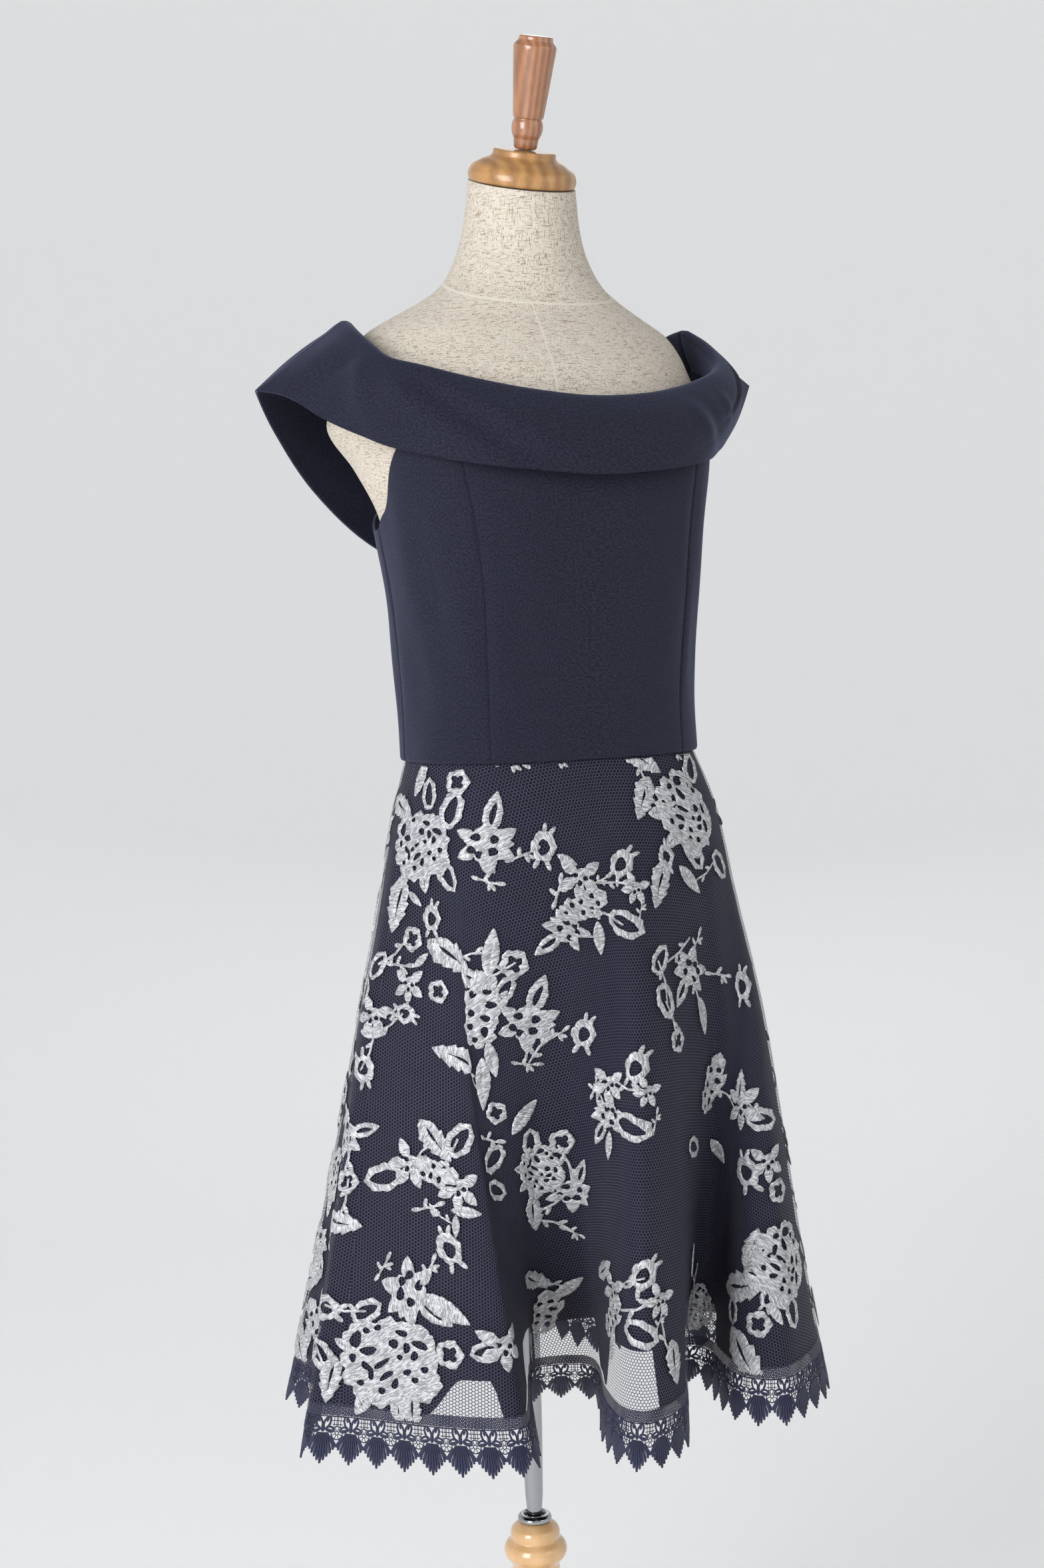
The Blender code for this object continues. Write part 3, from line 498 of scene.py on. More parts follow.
CREPE = crepe_look("navy crepe", (0.0055, 0.0058, 0.0125), (0.021, 0.0215, 0.043))
NET = net_look("navy hexagon net", 0.0030, 0.105, (0.010, 0.010, 0.026), (0.070, 0.072, 0.135))
HEM_NET = net_look("doubled hem net", 0.0017, 0.34, (0.008, 0.009, 0.024), (0.030, 0.033, 0.070))
LINING = lining_look()
SILVER_THREAD = thread_look("silver rayon thread", (0.07, 0.07, 0.085), (0.92, 0.93, 0.95), 0.12, 0.36,
                            3.4, 0.80, 0.10, 0.0006)
NAVY_CORD = thread_look("navy lace cord", (0.004, 0.005, 0.020), (0.020, 0.026, 0.100), 0.0, 0.55,
                        1.6, 0.5, 0.06, 0.00025)
STITCH_THREAD = plain_look("navy sewing thread", (0.022, 0.026, 0.060), 0.6)

# %% [markdown]
# ## Bodice
#
# Five panels meet at two princess seams, two side seams and a centre back seam. The bust is
# boxy, so every level is a squarish oval, and the panels share that one surface. Near a seam
# the cloth dips as it turns under to the stitching, which is what makes a seam read as a line.

# %% Bodice panels
WAIST_HEIGHT, BODICE_BOTTOM, HEM_TIP_HEIGHT = 1018.7, 1019.0, 457.0
SEAM_GAP, BODICE_GAP, BODICE_WALL, COLLAR_WALL = 0.3, 0.04, 2.0, 2.2
SIDE_SEAM_ANGLE = 96.0
BODICE_SECTIONS = [
    # height, half_width, half_depth, centre_y, squareness
    (1015.0, 123.5, 86.5, -77.5, 2.6),
    (1060.0, 122.8, 86.5, -75.8, 2.6),
    (1100.0, 124.5, 89.5, -76.0, 2.6),
    (1150.0, 128.5, 95.5, -76.0, 2.6),
    (1200.0, 134.5, 101.5, -71.5, 2.6),
    (1250.0, 142.0, 103.0, -70.0, 2.6),
    (1300.0, 147.0, 100.0, -70.0, 2.5),
]
BODICE_TOP = [
    # angle, height
    (0.0, 1275.0), (50.0, 1275.0), (70.0, 1270.0), (80.0, 1252.0), (88.0, 1222.0),
    (99.0, 1205.0), (112.0, 1209.0), (128.0, 1221.0), (180.0, 1228.0),
]
PRINCESS_SEAM = [
    # height, angle
    (1019.0, 38.0), (1190.0, 38.6), (1230.0, 39.8), (1275.0, 42.3),
]


def bodice_point(angle, height):
    half_width, half_depth, centre_y, squareness = smooth_between(BODICE_SECTIONS, height)
    x, y = oval(np.radians(angle), half_width, half_depth, half_depth, centre_y, squareness)
    return np.stack([x, y, height], -1)


def laid_flat(points):
    """A grid's greatest width and length along its rows and columns, and its area, in metres."""
    along, down = np.diff(points, axis=1), np.diff(points, axis=0)
    width = np.linalg.norm(along, axis=-1).sum(1).max()
    length = np.linalg.norm(down, axis=-1).sum(0).max()
    area = np.linalg.norm(np.cross(along[:-1], down[:, :-1]), axis=-1).sum()
    return float(width * MM), float(length * MM), float(area * MM**2)


def bodice_panel(name, first, last, columns, rows=64):
    """A panel between two seams, each an angle by height; rows run from the top down."""
    across, down = np.meshgrid(clustered(columns), clustered(rows))

    def surface(u, v):
        height = np.full_like(u, BODICE_BOTTOM)
        for _ in range(3):
            angle = first(height) + (last(height) - first(height)) * u
            top = smooth_between(BODICE_TOP, np.abs(angle))[0]
            height = top - (top - BODICE_BOTTOM) * v
        return bodice_point(angle, height)

    points = surface(across, down)
    normal = surface_normal(surface, np.clip(across, 0.003, 0.997), np.clip(down, 0.003, 0.997))
    width = np.linalg.norm(np.diff(points, axis=1), axis=-1).sum(1).mean()
    length = np.linalg.norm(np.diff(points, axis=0), axis=-1).sum(0).mean()
    to_seam = np.minimum(across, 1.0 - across) * width
    to_edge = (1.0 - down) * length
    dip = 0.9 * np.exp(-(to_seam / 1.6) ** 2) + 0.8 * np.exp(-(to_edge / 1.4) ** 2)
    drape = (1.5 * np.sin(across * 7.0 + down * 3.0) * np.sin(down * pi)
             + 0.7 * np.sin(across * 15.0 - down * 7.0) * np.sin(down * pi) ** 2)
    ease = np.clip(to_seam / 12.0, 0.0, 1.0)
    outer = points + normal * (drape * ease - dip)[..., None]
    inner = points - normal * (BODICE_WALL - 0.2)
    uv = np.stack([(across - 0.5) * width, -down * length], -1) * MM
    made = wall_object(name + "_cloth", outer, inner, uv, CREPE)
    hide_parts(name)
    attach(made, "root")
    return made


def make_bodice():
    half_gap = BODICE_GAP / 2 / 125.0 * 180 / pi
    princess = {side: (lambda shift, side=side: (
        lambda height: side * (smooth_between(PRINCESS_SEAM, height)[0] + shift * half_gap)))
        for side in (-1, 1)}
    fixed = lambda angle: (lambda height: np.full_like(height, angle))
    seam = SIDE_SEAM_ANGLE
    bodice_panel("bodice_front", princess[-1](-1), princess[1](-1), 56)
    bodice_panel("bodice_side_front_right", fixed(-seam + half_gap), princess[-1](1), 44)
    bodice_panel("bodice_side_front_left", princess[1](1), fixed(seam - half_gap), 44)
    bodice_panel("bodice_back_left", fixed(seam + half_gap), fixed(180.0 - half_gap), 44)
    bodice_panel("bodice_back_right", fixed(-180.0 + half_gap), fixed(-seam - half_gap), 44)


make_bodice()

# %% [markdown]
# ## Folded collar
#
# The collar is a wide double band folded over along its top edge. It is described by stations
# round the shoulders: the crest of the fold, the free lower edge, and how far the outer leg
# bellies out. The shoulder seams pull the cloth, so a few soft creases run away from them.

# %% Collar
FOLD_RADIUS, COLLAR_CENTRE_Y = 3.4, -62.0
COLLAR_FRONT = [
    # top_x, top_y, top_z, low_x, low_y, low_z, belly, inner_low_z
    (-155.0, -47.0, 1372.0, -226.0, -32.0, 1318.0, 0.0, 1331.0),
    (-157.0, -73.0, 1361.0, -209.0, -53.0, 1311.0, 3.0, 1326.0),
    (-153.0, -98.0, 1347.0, -186.0, -77.0, 1291.0, 6.0, 1315.0),
    (-146.0, -117.0, 1335.0, -163.0, -101.0, 1276.0, 9.0, 1303.0),
    (-126.0, -136.0, 1327.0, -143.0, -122.0, 1265.0, 10.0, 1290.0),
    (-91.0, -154.0, 1316.0, -104.0, -164.0, 1252.0, 9.0, 1278.0),
    (-50.0, -168.0, 1307.0, -58.0, -183.0, 1245.0, 8.0, 1275.5),
    (0.0, -173.0, 1302.0, 0.0, -188.0, 1241.0, 8.0, 1275.5),
    (50.0, -168.0, 1305.0, 58.0, -183.0, 1245.0, 8.0, 1275.5),
    (91.0, -154.0, 1313.0, 104.0, -164.0, 1252.0, 9.0, 1278.0),
    (126.0, -136.0, 1324.0, 143.0, -122.0, 1265.0, 11.0, 1290.0),
    (146.0, -117.0, 1334.0, 163.0, -101.0, 1276.0, 12.0, 1303.0),
    (155.0, -98.0, 1345.0, 187.0, -77.0, 1293.0, 9.0, 1315.0),
    (158.0, -73.0, 1359.0, 210.0, -53.0, 1313.0, 4.0, 1326.0),
    (155.0, -47.0, 1372.0, 228.0, -31.0, 1328.0, 0.0, 1331.0),
]
COLLAR_BACK = [
    # top_x, top_y, top_z, low_x, low_y, low_z, belly, inner_low_z
    (155.0, -47.0, 1372.0, 228.0, -31.0, 1328.0, 0.0, 1331.0),
    (152.0, -16.0, 1368.0, 216.0, -4.0, 1316.0, 5.0, 1330.0),
    (140.0, 14.0, 1350.0, 196.0, 14.0, 1288.0, 8.0, 1316.0),
    (112.0, 36.0, 1320.0, 160.0, 30.0, 1243.0, 8.0, 1288.0),
    (74.0, 46.0, 1286.0, 110.0, 42.0, 1200.0, 7.0, 1258.0),
    (36.0, 50.0, 1264.0, 52.0, 48.0, 1172.0, 6.0, 1238.0),
    (0.0, 51.0, 1254.0, 0.0, 50.0, 1164.0, 5.0, 1228.6),
    (-36.0, 50.0, 1264.0, -52.0, 48.0, 1172.0, 6.0, 1238.0),
    (-74.0, 46.0, 1286.0, -110.0, 42.0, 1200.0, 7.0, 1258.0),
    (-112.0, 36.0, 1320.0, -160.0, 30.0, 1243.0, 8.0, 1288.0),
    (-140.0, 14.0, 1350.0, -196.0, 14.0, 1288.0, 8.0, 1316.0),
    (-152.0, -16.0, 1368.0, -216.0, -4.0, 1316.0, 5.0, 1330.0),
    (-155.0, -47.0, 1372.0, -226.0, -32.0, 1318.0, 0.0, 1331.0),
]
UP = np.array([0.0, 0.0, 1.0])


def collar_section(table, stations):
    """The control points of the band's face inside the fold, one list for each station."""
    rows = [(float(index), *row) for index, row in enumerate(table)]
    top_x, top_y, top_z, low_x, low_y, low_z, belly, inner_low_z = smooth_between(rows, stations)
    top = np.stack([top_x, top_y, top_z - FOLD_RADIUS - COLLAR_WALL], -1)
    low = np.stack([low_x, low_y, low_z], -1)
    out = unit(np.stack([top_x, (top_y - COLLAR_CENTRE_Y) * 1.35, 0 * top_x], -1))
    leg = low - top
    face = unit(out - leg * ((out * leg).sum(-1) / (leg * leg).sum(-1))[..., None])
    inner_leg = (top[..., 2] - inner_low_z)[..., None]
    lean = (unit(leg) + UP) * 0.35
    start = top + out * FOLD_RADIUS
    points = [
        start - out * FOLD_RADIUS * 2 - UP * inner_leg + lean * inner_leg,
        start - out * FOLD_RADIUS * 2 - UP * inner_leg * 0.5 + lean * inner_leg * 0.4,
        start - out * FOLD_RADIUS * 2,
        top - out * FOLD_RADIUS * 0.7 + UP * FOLD_RADIUS * 0.7,
        top + UP * FOLD_RADIUS,
        top + out * FOLD_RADIUS * 0.8 + UP * FOLD_RADIUS * 0.6,
    ]
    for share in (0.08, 0.3, 0.55, 0.8, 1.0):
        bulge = belly * sin(pi * share**0.8) if share < 1.0 else 0.0 * belly
        points.append(start + (low - face * COLLAR_WALL - start) * share + face * bulge[..., None])
    return np.stack(points, 0), out


def collar_inner(table, stations, rows):
    """Smooth through the control points: rows run from the inner leg over the fold to the free edge."""
    points, out = collar_section(table, stations)
    place = np.clip(rows.astype(int), 0, len(points) - 2)
    share = (rows - place)[:, None, None]
    before, low = points[np.maximum(place - 1, 0)], points[place]
    high, after = points[place + 1], points[np.minimum(place + 2, len(points) - 1)]
    return 0.5 * (2 * low + (high - before) * share
                  + (2 * before - 5 * low + 4 * high - after) * share**2
                  + (3 * low - before - 3 * high + after) * share**3), out


COLLAR_CREASES = {
    # station, row, half length in stations, half width in rows, slant, height
    "collar_front": [
        (11.0, 7.1, 0.22, 1.3, -1.15, 3.2), (10.5, 7.4, 0.22, 1.3, -1.00, -3.0),
        (9.85, 7.4, 0.14, 0.9, 0.10, 2.6), (9.0, 7.9, 0.16, 1.2, 0.20, 2.4), (9.4, 7.9, 0.16, 1.2, 0.20, -2.4),
        (5.0, 7.6, 0.42, 1.9, 0.58, -5.5), (4.1, 7.4, 0.40, 1.8, 0.50, 3.2), (6.0, 8.0, 0.50, 1.6, 0.58, 3.0),
        (2.6, 7.4, 0.40, 1.7, 0.30, 2.4), (1.6, 7.6, 0.30, 1.6, -0.20, -2.4), (7.6, 8.2, 0.70, 1.3, -0.50, -2.2),
    ],
    "collar_back": [
        (1.2, 8.0, 0.5, 1.8, 0.2, 1.4), (3.2, 8.3, 1.0, 1.0, -0.2, -1.4),
        (9.0, 8.0, 1.0, 1.1, 0.2, 1.4), (10.8, 7.6, 0.5, 1.7, -0.2, -1.4),
    ],
}


def make_collar(name, table, columns):
    last = len(table) - 1.0
    trim = SEAM_GAP / 2 / 25.0
    stations = trim + (last - 2 * trim) * clustered(columns)
    rows = np.concatenate([np.linspace(0.0, 2.0, 9), np.linspace(2.0, 6.0, 25)[1:],
                           np.linspace(6.0, 10.0, 41)[1:]])
    inner, out = collar_inner(table, stations, rows)
    fall = collar_inner(table, stations, rows + 1e-3)[0] - collar_inner(table, stations, rows - 1e-3)[0]
    normal = -unit(np.cross(np.cross(UP, out)[None], fall))
    relief = np.zeros(inner.shape[:2])
    for station, row, length, width, slant, height in COLLAR_CREASES[name]:
        along = stations[None, :] - station - slant * (rows[:, None] - row)
        relief += height * np.exp(-(along / length) ** 2 - ((rows[:, None] - row) / width) ** 2)
    relief *= np.clip((rows[:, None] - 5.5) / 1.5, 0, 1)
    to_seam = np.minimum(stations, last - stations) * 25.0
    relief -= 1.0 * np.exp(-(to_seam[None, :] / 1.8) ** 2)
    outer = inner + normal * (COLLAR_WALL + relief)[..., None]
    inner = inner + normal * np.minimum(relief, 0.0)[..., None] * 0.5
    width = np.linalg.norm(np.diff(outer, axis=1), axis=-1).sum(1)
    length = np.linalg.norm(np.diff(outer, axis=0), axis=-1)
    down = np.concatenate([np.zeros((1, len(stations))), np.cumsum(length, 0)])
    across = np.broadcast_to((stations / last - 0.5) * width.mean(), down.shape)
    uv = np.stack([across, -down], -1) * MM
    made = wall_object(name + "_cloth", outer, inner, uv, CREPE)
    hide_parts(name)
    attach(made, "root")
    return inner


collar_front_face = make_collar("collar_front", COLLAR_FRONT, 260)
collar_back_face = make_collar("collar_back", COLLAR_BACK, 180)

# %% [markdown]
# ## Skirt surface
#
# The skirt starts as a plain cone from the waist and takes its folds from one closed curve, the
# hem seen from above. A fold grows towards the hem, evenly or mostly near it. A point is given
# by its share of the way round and its depth from the waist, so net, lining, lace and
# embroidery all read the same surface.

# %% Skirt surface
LACE_HEIGHT, SKIRT_WALL, LINING_WALL, LACE_WALL = 39.0, 1.2, 1.0, 2.0
LINING_CLEARANCE, LINING_EASE = 0.5, 0.8
SKIRT_DROP = WAIST_HEIGHT - HEM_TIP_HEIGHT
NET_HEM = 1.0 - LACE_HEIGHT / SKIRT_DROP
SKIRT_SECTIONS = [
    # height, half_width, half_depth, centre_x, centre_y, squareness
    (1018.7, 120.5, 83.5, 0.0, -77.5, 2.6),
    (970.0, 138.5, 95.0, 3.5, -79.0, 2.4),
    (900.0, 154.0, 108.0, 4.5, -78.0, 2.3),
    (800.0, 177.0, 124.0, 6.0, -75.0, 2.2),
    (700.0, 194.0, 137.0, 6.0, -71.0, 2.1),
    (600.0, 209.0, 148.0, 4.0, -67.0, 2.05),
    (500.0, 224.0, 156.0, 2.0, -63.0, 2.0),
    (457.0, 230.0, 160.0, 1.0, -61.0, 2.0),
]
HEM = [
    # x, y, growth, rise
    (12.0, 64.0, 1.9, 45.0), (-12.0, 76.0, 1.8, 45.0), (-26.0, 112.0, 1.6, 45.0),
    (-44.0, 143.0, 1.4, 45.0), (-70.0, 146.0, 1.4, 45.0), (-87.0, 120.0, 1.6, 45.0),
    (-92.0, 84.0, 1.8, 45.0), (-109.0, 66.0, 1.8, 45.0), (-129.0, 80.0, 1.7, 45.0),
    (-151.0, 108.0, 1.5, 42.0), (-179.0, 111.0, 1.4, 42.0), (-197.0, 86.0, 1.5, 42.0),
    (-192.0, 54.0, 1.7, 42.0), (-186.0, 27.0, 1.7, 42.0), (-205.0, 5.0, 1.5, 40.0),
    (-210.0, -16.0, 1.3, 40.0), (-232.0, -53.0, 1.6, 38.0), (-208.0, -76.0, 1.1, 38.0),
    (-175.0, -110.0, 1.1, 38.0), (-140.0, -144.0, 1.1, 38.0), (-104.0, -170.0, 1.2, 38.0),
    (-78.0, -173.0, 1.4, 38.0), (-61.0, -149.0, 1.7, 40.0), (-36.0, -88.0, 2.1, 44.0),
    (-16.0, -34.0, 2.2, 46.0), (8.0, -29.0, 2.2, 46.0), (33.0, -46.0, 2.1, 50.0),
    (27.0, -78.0, 2.0, 54.0), (0.0, -134.0, 1.8, 56.0), (-13.0, -186.0, 1.5, 56.0),
    (-4.0, -212.0, 1.3, 56.0), (18.0, -211.0, 1.2, 56.0), (45.0, -195.0, 1.2, 56.0),
    (64.0, -170.0, 1.3, 54.0), (88.0, -115.0, 1.5, 50.0), (110.0, -64.0, 1.6, 46.0),
    (127.0, -58.0, 1.6, 44.0), (131.0, -80.0, 1.6, 42.0), (122.0, -114.0, 1.5, 42.0),
    (117.0, -148.0, 1.4, 42.0), (127.0, -173.0, 1.3, 42.0), (151.0, -184.0, 1.2, 42.0),
    (179.0, -171.0, 1.1, 42.0), (214.0, -144.0, 1.8, 42.0), (240.0, -103.0, 2.4, 42.0),
    (242.0, -60.0, 2.4, 42.0), (220.0, -22.0, 1.4, 42.0), (190.0, 4.0, 1.6, 42.0),
    (179.0, 31.0, 1.7, 42.0), (195.0, 62.0, 1.5, 42.0), (189.0, 92.0, 1.4, 42.0),
    (160.0, 100.0, 1.5, 42.0), (131.0, 76.0, 1.7, 45.0), (111.0, 52.0, 1.8, 45.0),
    (92.0, 64.0, 1.8, 45.0), (85.0, 98.0, 1.6, 45.0), (78.0, 130.0, 1.4, 45.0),
    (54.0, 143.0, 1.4, 45.0), (33.0, 122.0, 1.6, 45.0), (27.0, 84.0, 1.8, 45.0),
]


def closed_curve(table, steps=12):
    """A smooth closed curve through the rows, as samples with their reach along the curve."""
    low = np.array(table, float)
    before, high, after = np.roll(low, 1, 0), np.roll(low, -1, 0), np.roll(low, -2, 0)
    samples = []
    for step in range(steps):
        s = step / steps
        samples.append(0.5 * (2 * low + (high - before) * s
                              + (2 * before - 5 * low + 4 * high - after) * s**2
                              + (3 * low - before - 3 * high + after) * s**3))
    samples = np.stack(samples, 1).reshape(-1, low.shape[1])
    samples = np.vstack([samples, samples[:1]])
    reach = np.concatenate([[0.0], np.cumsum(np.linalg.norm(np.diff(samples[:, :2], axis=0), axis=1))])
    return samples, reach


HEM_SAMPLES, HEM_REACH = closed_curve(HEM)
HEM_LENGTH = HEM_REACH[-1]
WAIST_TURNS = pi + np.linspace(0.0, 2 * pi, 361)
waist_row = SKIRT_SECTIONS[0]
waist_x, waist_y = oval(WAIST_TURNS, waist_row[1], waist_row[2], waist_row[2], waist_row[4], waist_row[5])
WAIST_REACH = np.concatenate([[0.0], np.cumsum(np.hypot(np.diff(waist_x), np.diff(waist_y)))])
WAIST_LENGTH = WAIST_REACH[-1]


def hem_row(share):
    along = (np.asarray(share) % 1.0) * HEM_LENGTH
    return [np.interp(along, HEM_REACH, HEM_SAMPLES[:, column]) for column in range(4)]


def plain_skirt(share, depth):
    height = WAIST_HEIGHT - SKIRT_DROP * depth
    half_width, half_depth, centre_x, centre_y, squareness = smooth_between(SKIRT_SECTIONS, height)
    turn = np.interp((share % 1.0) * WAIST_LENGTH, WAIST_REACH, WAIST_TURNS)
    x, y = oval(turn, half_width, half_depth, half_depth, centre_y, squareness)
    return x + centre_x, y


def skirt_point(share, depth):
    """The skirt's outer face: share round from the centre back, depth 0 at the waist, 1 at the tips."""
    share, depth = np.broadcast_arrays(np.asarray(share, float), np.asarray(depth, float))
    hem_x, hem_y, growth, _ = hem_row(share)
    x, y = plain_skirt(share, depth)
    hem_plain_x, hem_plain_y = plain_skirt(share, np.ones_like(depth))
    fold = np.maximum(depth, 0.0) ** growth
    return np.stack([x + (hem_x - hem_plain_x) * fold, y + (hem_y - hem_plain_y) * fold,
                     WAIST_HEIGHT - SKIRT_DROP * depth], -1)


def skirt_inwards(share, depth, step=2e-3):
    along = skirt_point(share + step, depth) - skirt_point(share - step, depth)
    return unit(np.stack([-along[..., 1], along[..., 0], 0 * along[..., 0]], -1))


print("hem", round(HEM_LENGTH), "mm round, waist", round(WAIST_LENGTH), "mm")

# %% [markdown]
# ## Net and lining
#
# Each half of the skirt is cut as part of a ring. The UV map is that flat cut, so the net's
# hexagons stay the same size from waist to hem and lean over towards the side seams, as they
# do on a flared skirt. The net is one layer with a doubled hem; the lining is a closed wall.

# %% Net and lining
RING_TURN = (HEM_LENGTH * 0.97 - WAIST_LENGTH) / (SKIRT_DROP * 1.06)
RING_START = WAIST_LENGTH / RING_TURN
RING_DEPTH = SKIRT_DROP * 1.06
HEM_FOLD, LINING_LOW = 9.5, 7.0


def flat_cut(share, depth, middle):
    turn = (share - middle) * RING_TURN
    reach = RING_START + RING_DEPTH * depth
    return np.stack([reach * np.sin(turn), -reach * np.cos(turn)], -1) * MM


HEM_WINDOWS = [
    # share where the lining lifts, share where it drops again, softness of each side
    (0.287, 0.321, 0.018, 0.003), (0.372, 0.445, 0.008, 0.008), (0.470, 0.5235, 0.007, 0.003),
    (0.604, 0.632, 0.005, 0.005),
]


def lining_hem(share):
    """The lining hangs close to the net's hem, and lifts where the net shows the room through it."""
    lift = np.zeros_like(share)
    for shift in (0.0, 0.5, 1.0):
        for start, stop, soft_start, soft_stop in HEM_WINDOWS:
            here = share - shift
            rise = np.clip((here - start) / soft_start, 0, 1) * np.clip((stop - here) / soft_stop, 0, 1)
            lift = np.maximum(lift, rise * rise * (3 - 2 * rise))
    return NET_HEM - (LINING_LOW + (hem_row(share)[3] - LINING_LOW) * lift) / SKIRT_DROP


def make_net(half, first, last):
    share, depth = np.meshgrid(np.linspace(first, last, 420), np.linspace(0.0, NET_HEM, 100))
    points = skirt_point(share, depth)
    points += skirt_inwards(share, depth) * 0.4
    uv = flat_cut(share, depth, (first + last) / 2)
    made = make_object("skirt_net_" + half, points.reshape(-1, 3), grid_faces(*share.shape),
                       uv.reshape(-1, 2), NET)
    fold_share, fold_depth = np.meshgrid(np.linspace(first, last, 420),
                                         np.linspace(NET_HEM - HEM_FOLD / SKIRT_DROP, NET_HEM, 5))
    fold_points = skirt_point(fold_share, fold_depth) + skirt_inwards(fold_share, fold_depth) * 1.0
    hem = make_object("skirt_hem_" + half, fold_points.reshape(-1, 3), grid_faces(*fold_share.shape),
                      flat_cut(fold_share, fold_depth, first).reshape(-1, 2), HEM_NET)
    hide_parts("skirt_" + half)
    for piece in (made, hem):
        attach(piece, "root")
    rows = np.linalg.norm(np.diff(points, axis=1), axis=-1).sum(1)
    columns = np.linalg.norm(np.diff(points, axis=0), axis=-1).sum(0)
    print("  as hung: round the waist", round(rows[0]), "half way", round(rows[50]), "hem", round(rows[-1]),
          "mm; waist to hem", round(columns.mean()), "mm; area", round(laid_flat(points)[2], 4))


def make_lining(half, first, last):
    share, down = np.meshgrid(np.linspace(first, last, 240), np.linspace(0.0, 1.0, 40))
    depth = 0.0006 + (lining_hem(share) - 0.0006) * down
    outer_offset = SKIRT_WALL + LINING_CLEARANCE + LINING_EASE * np.minimum(depth / 0.25, 1.0)
    base, inwards = skirt_point(share, depth), skirt_inwards(share, depth)
    outer = base + inwards * outer_offset[..., None]
    inner = base + inwards * (outer_offset + LINING_WALL)[..., None]
    made = wall_object("lining_cloth_" + half, outer, inner, flat_cut(share, depth, (first + last) / 2), LINING)
    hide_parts("lining_" + half)
    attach(made, "root")
    print("  as hung: area", round(laid_flat(outer)[2], 4))


HALVES = (("front", 0.25, 0.75), ("back", 0.75, 1.25))
for half, first, last in HALVES:
    make_net(half, first, last)
    make_lining(half, first, last)

# %% [markdown]
# ## Embroidery motifs
#
# The pattern mixes large roses, lilies with pointed petals, open buds, little rings, leaves and
# bead-like sprigs. Each is drawn once, in millimetres, as a sum of simple forms less its eyelets.
# A fine grid is cut along that outline, so ragged edges and holes are real. The stitches run
# in one direction in each form, which the UV map records corner by corner.

# %% Motif forms
MOTIF_CELL = 1.25
EYELET_GROWTH = 1.36


def turned_to(x, y, centre_x, centre_y, degrees):
    x, y = x - centre_x, y - centre_y
    turn = radians(degrees)
    return x * cos(turn) + y * sin(turn), -x * sin(turn) + y * cos(turn)


def blob(x, y, centre_x, centre_y, half_long, half_wide, degrees=0.0, lobes=7, ragged=0.06):
    """A round form with a lobed edge; positive inside, about the distance to the edge."""
    u, v = turned_to(x, y, centre_x, centre_y, degrees)
    turn = np.arctan2(v / half_wide, u / half_long)
    edge = 1 + ragged * np.cos(lobes * turn + centre_x) + 0.5 * ragged * np.cos((2 * lobes + 1) * turn)
    return (edge - np.hypot(u / half_long, v / half_wide)) * min(half_long, half_wide)


def leaf(x, y, centre_x, centre_y, length, width, degrees=0.0, slit=0.55, teeth=5, notch=0.13):
    """A pointed leaf with toothed edges and an open slit along its middle."""
    u, v = turned_to(x, y, centre_x, centre_y, degrees)
    share = np.clip(u / length + 0.5, 0.0, 1.0)
    half = width / 2 * np.sin(pi * share**0.85) ** 0.88 * (1 - notch * ((share * teeth) % 1.0))
    beyond = np.abs(u) - length / 2
    inside = np.minimum(half - np.abs(v), -beyond)
    if slit:
        gap = slit - np.abs(v) + 0.0 * u
        gap = np.minimum(gap, (0.30 - np.abs(share - 0.42)) * length)
        inside = np.minimum(inside, -gap)
    return inside


def strand(x, y, x0, y0, x1, y1, half_width):
    """A straight stem between two points."""
    dx, dy = x1 - x0, y1 - y0
    along = np.clip(((x - x0) * dx + (y - y0) * dy) / (dx * dx + dy * dy), 0.0, 1.0)
    return half_width - np.hypot(x - x0 - dx * along, y - y0 - dy * along)


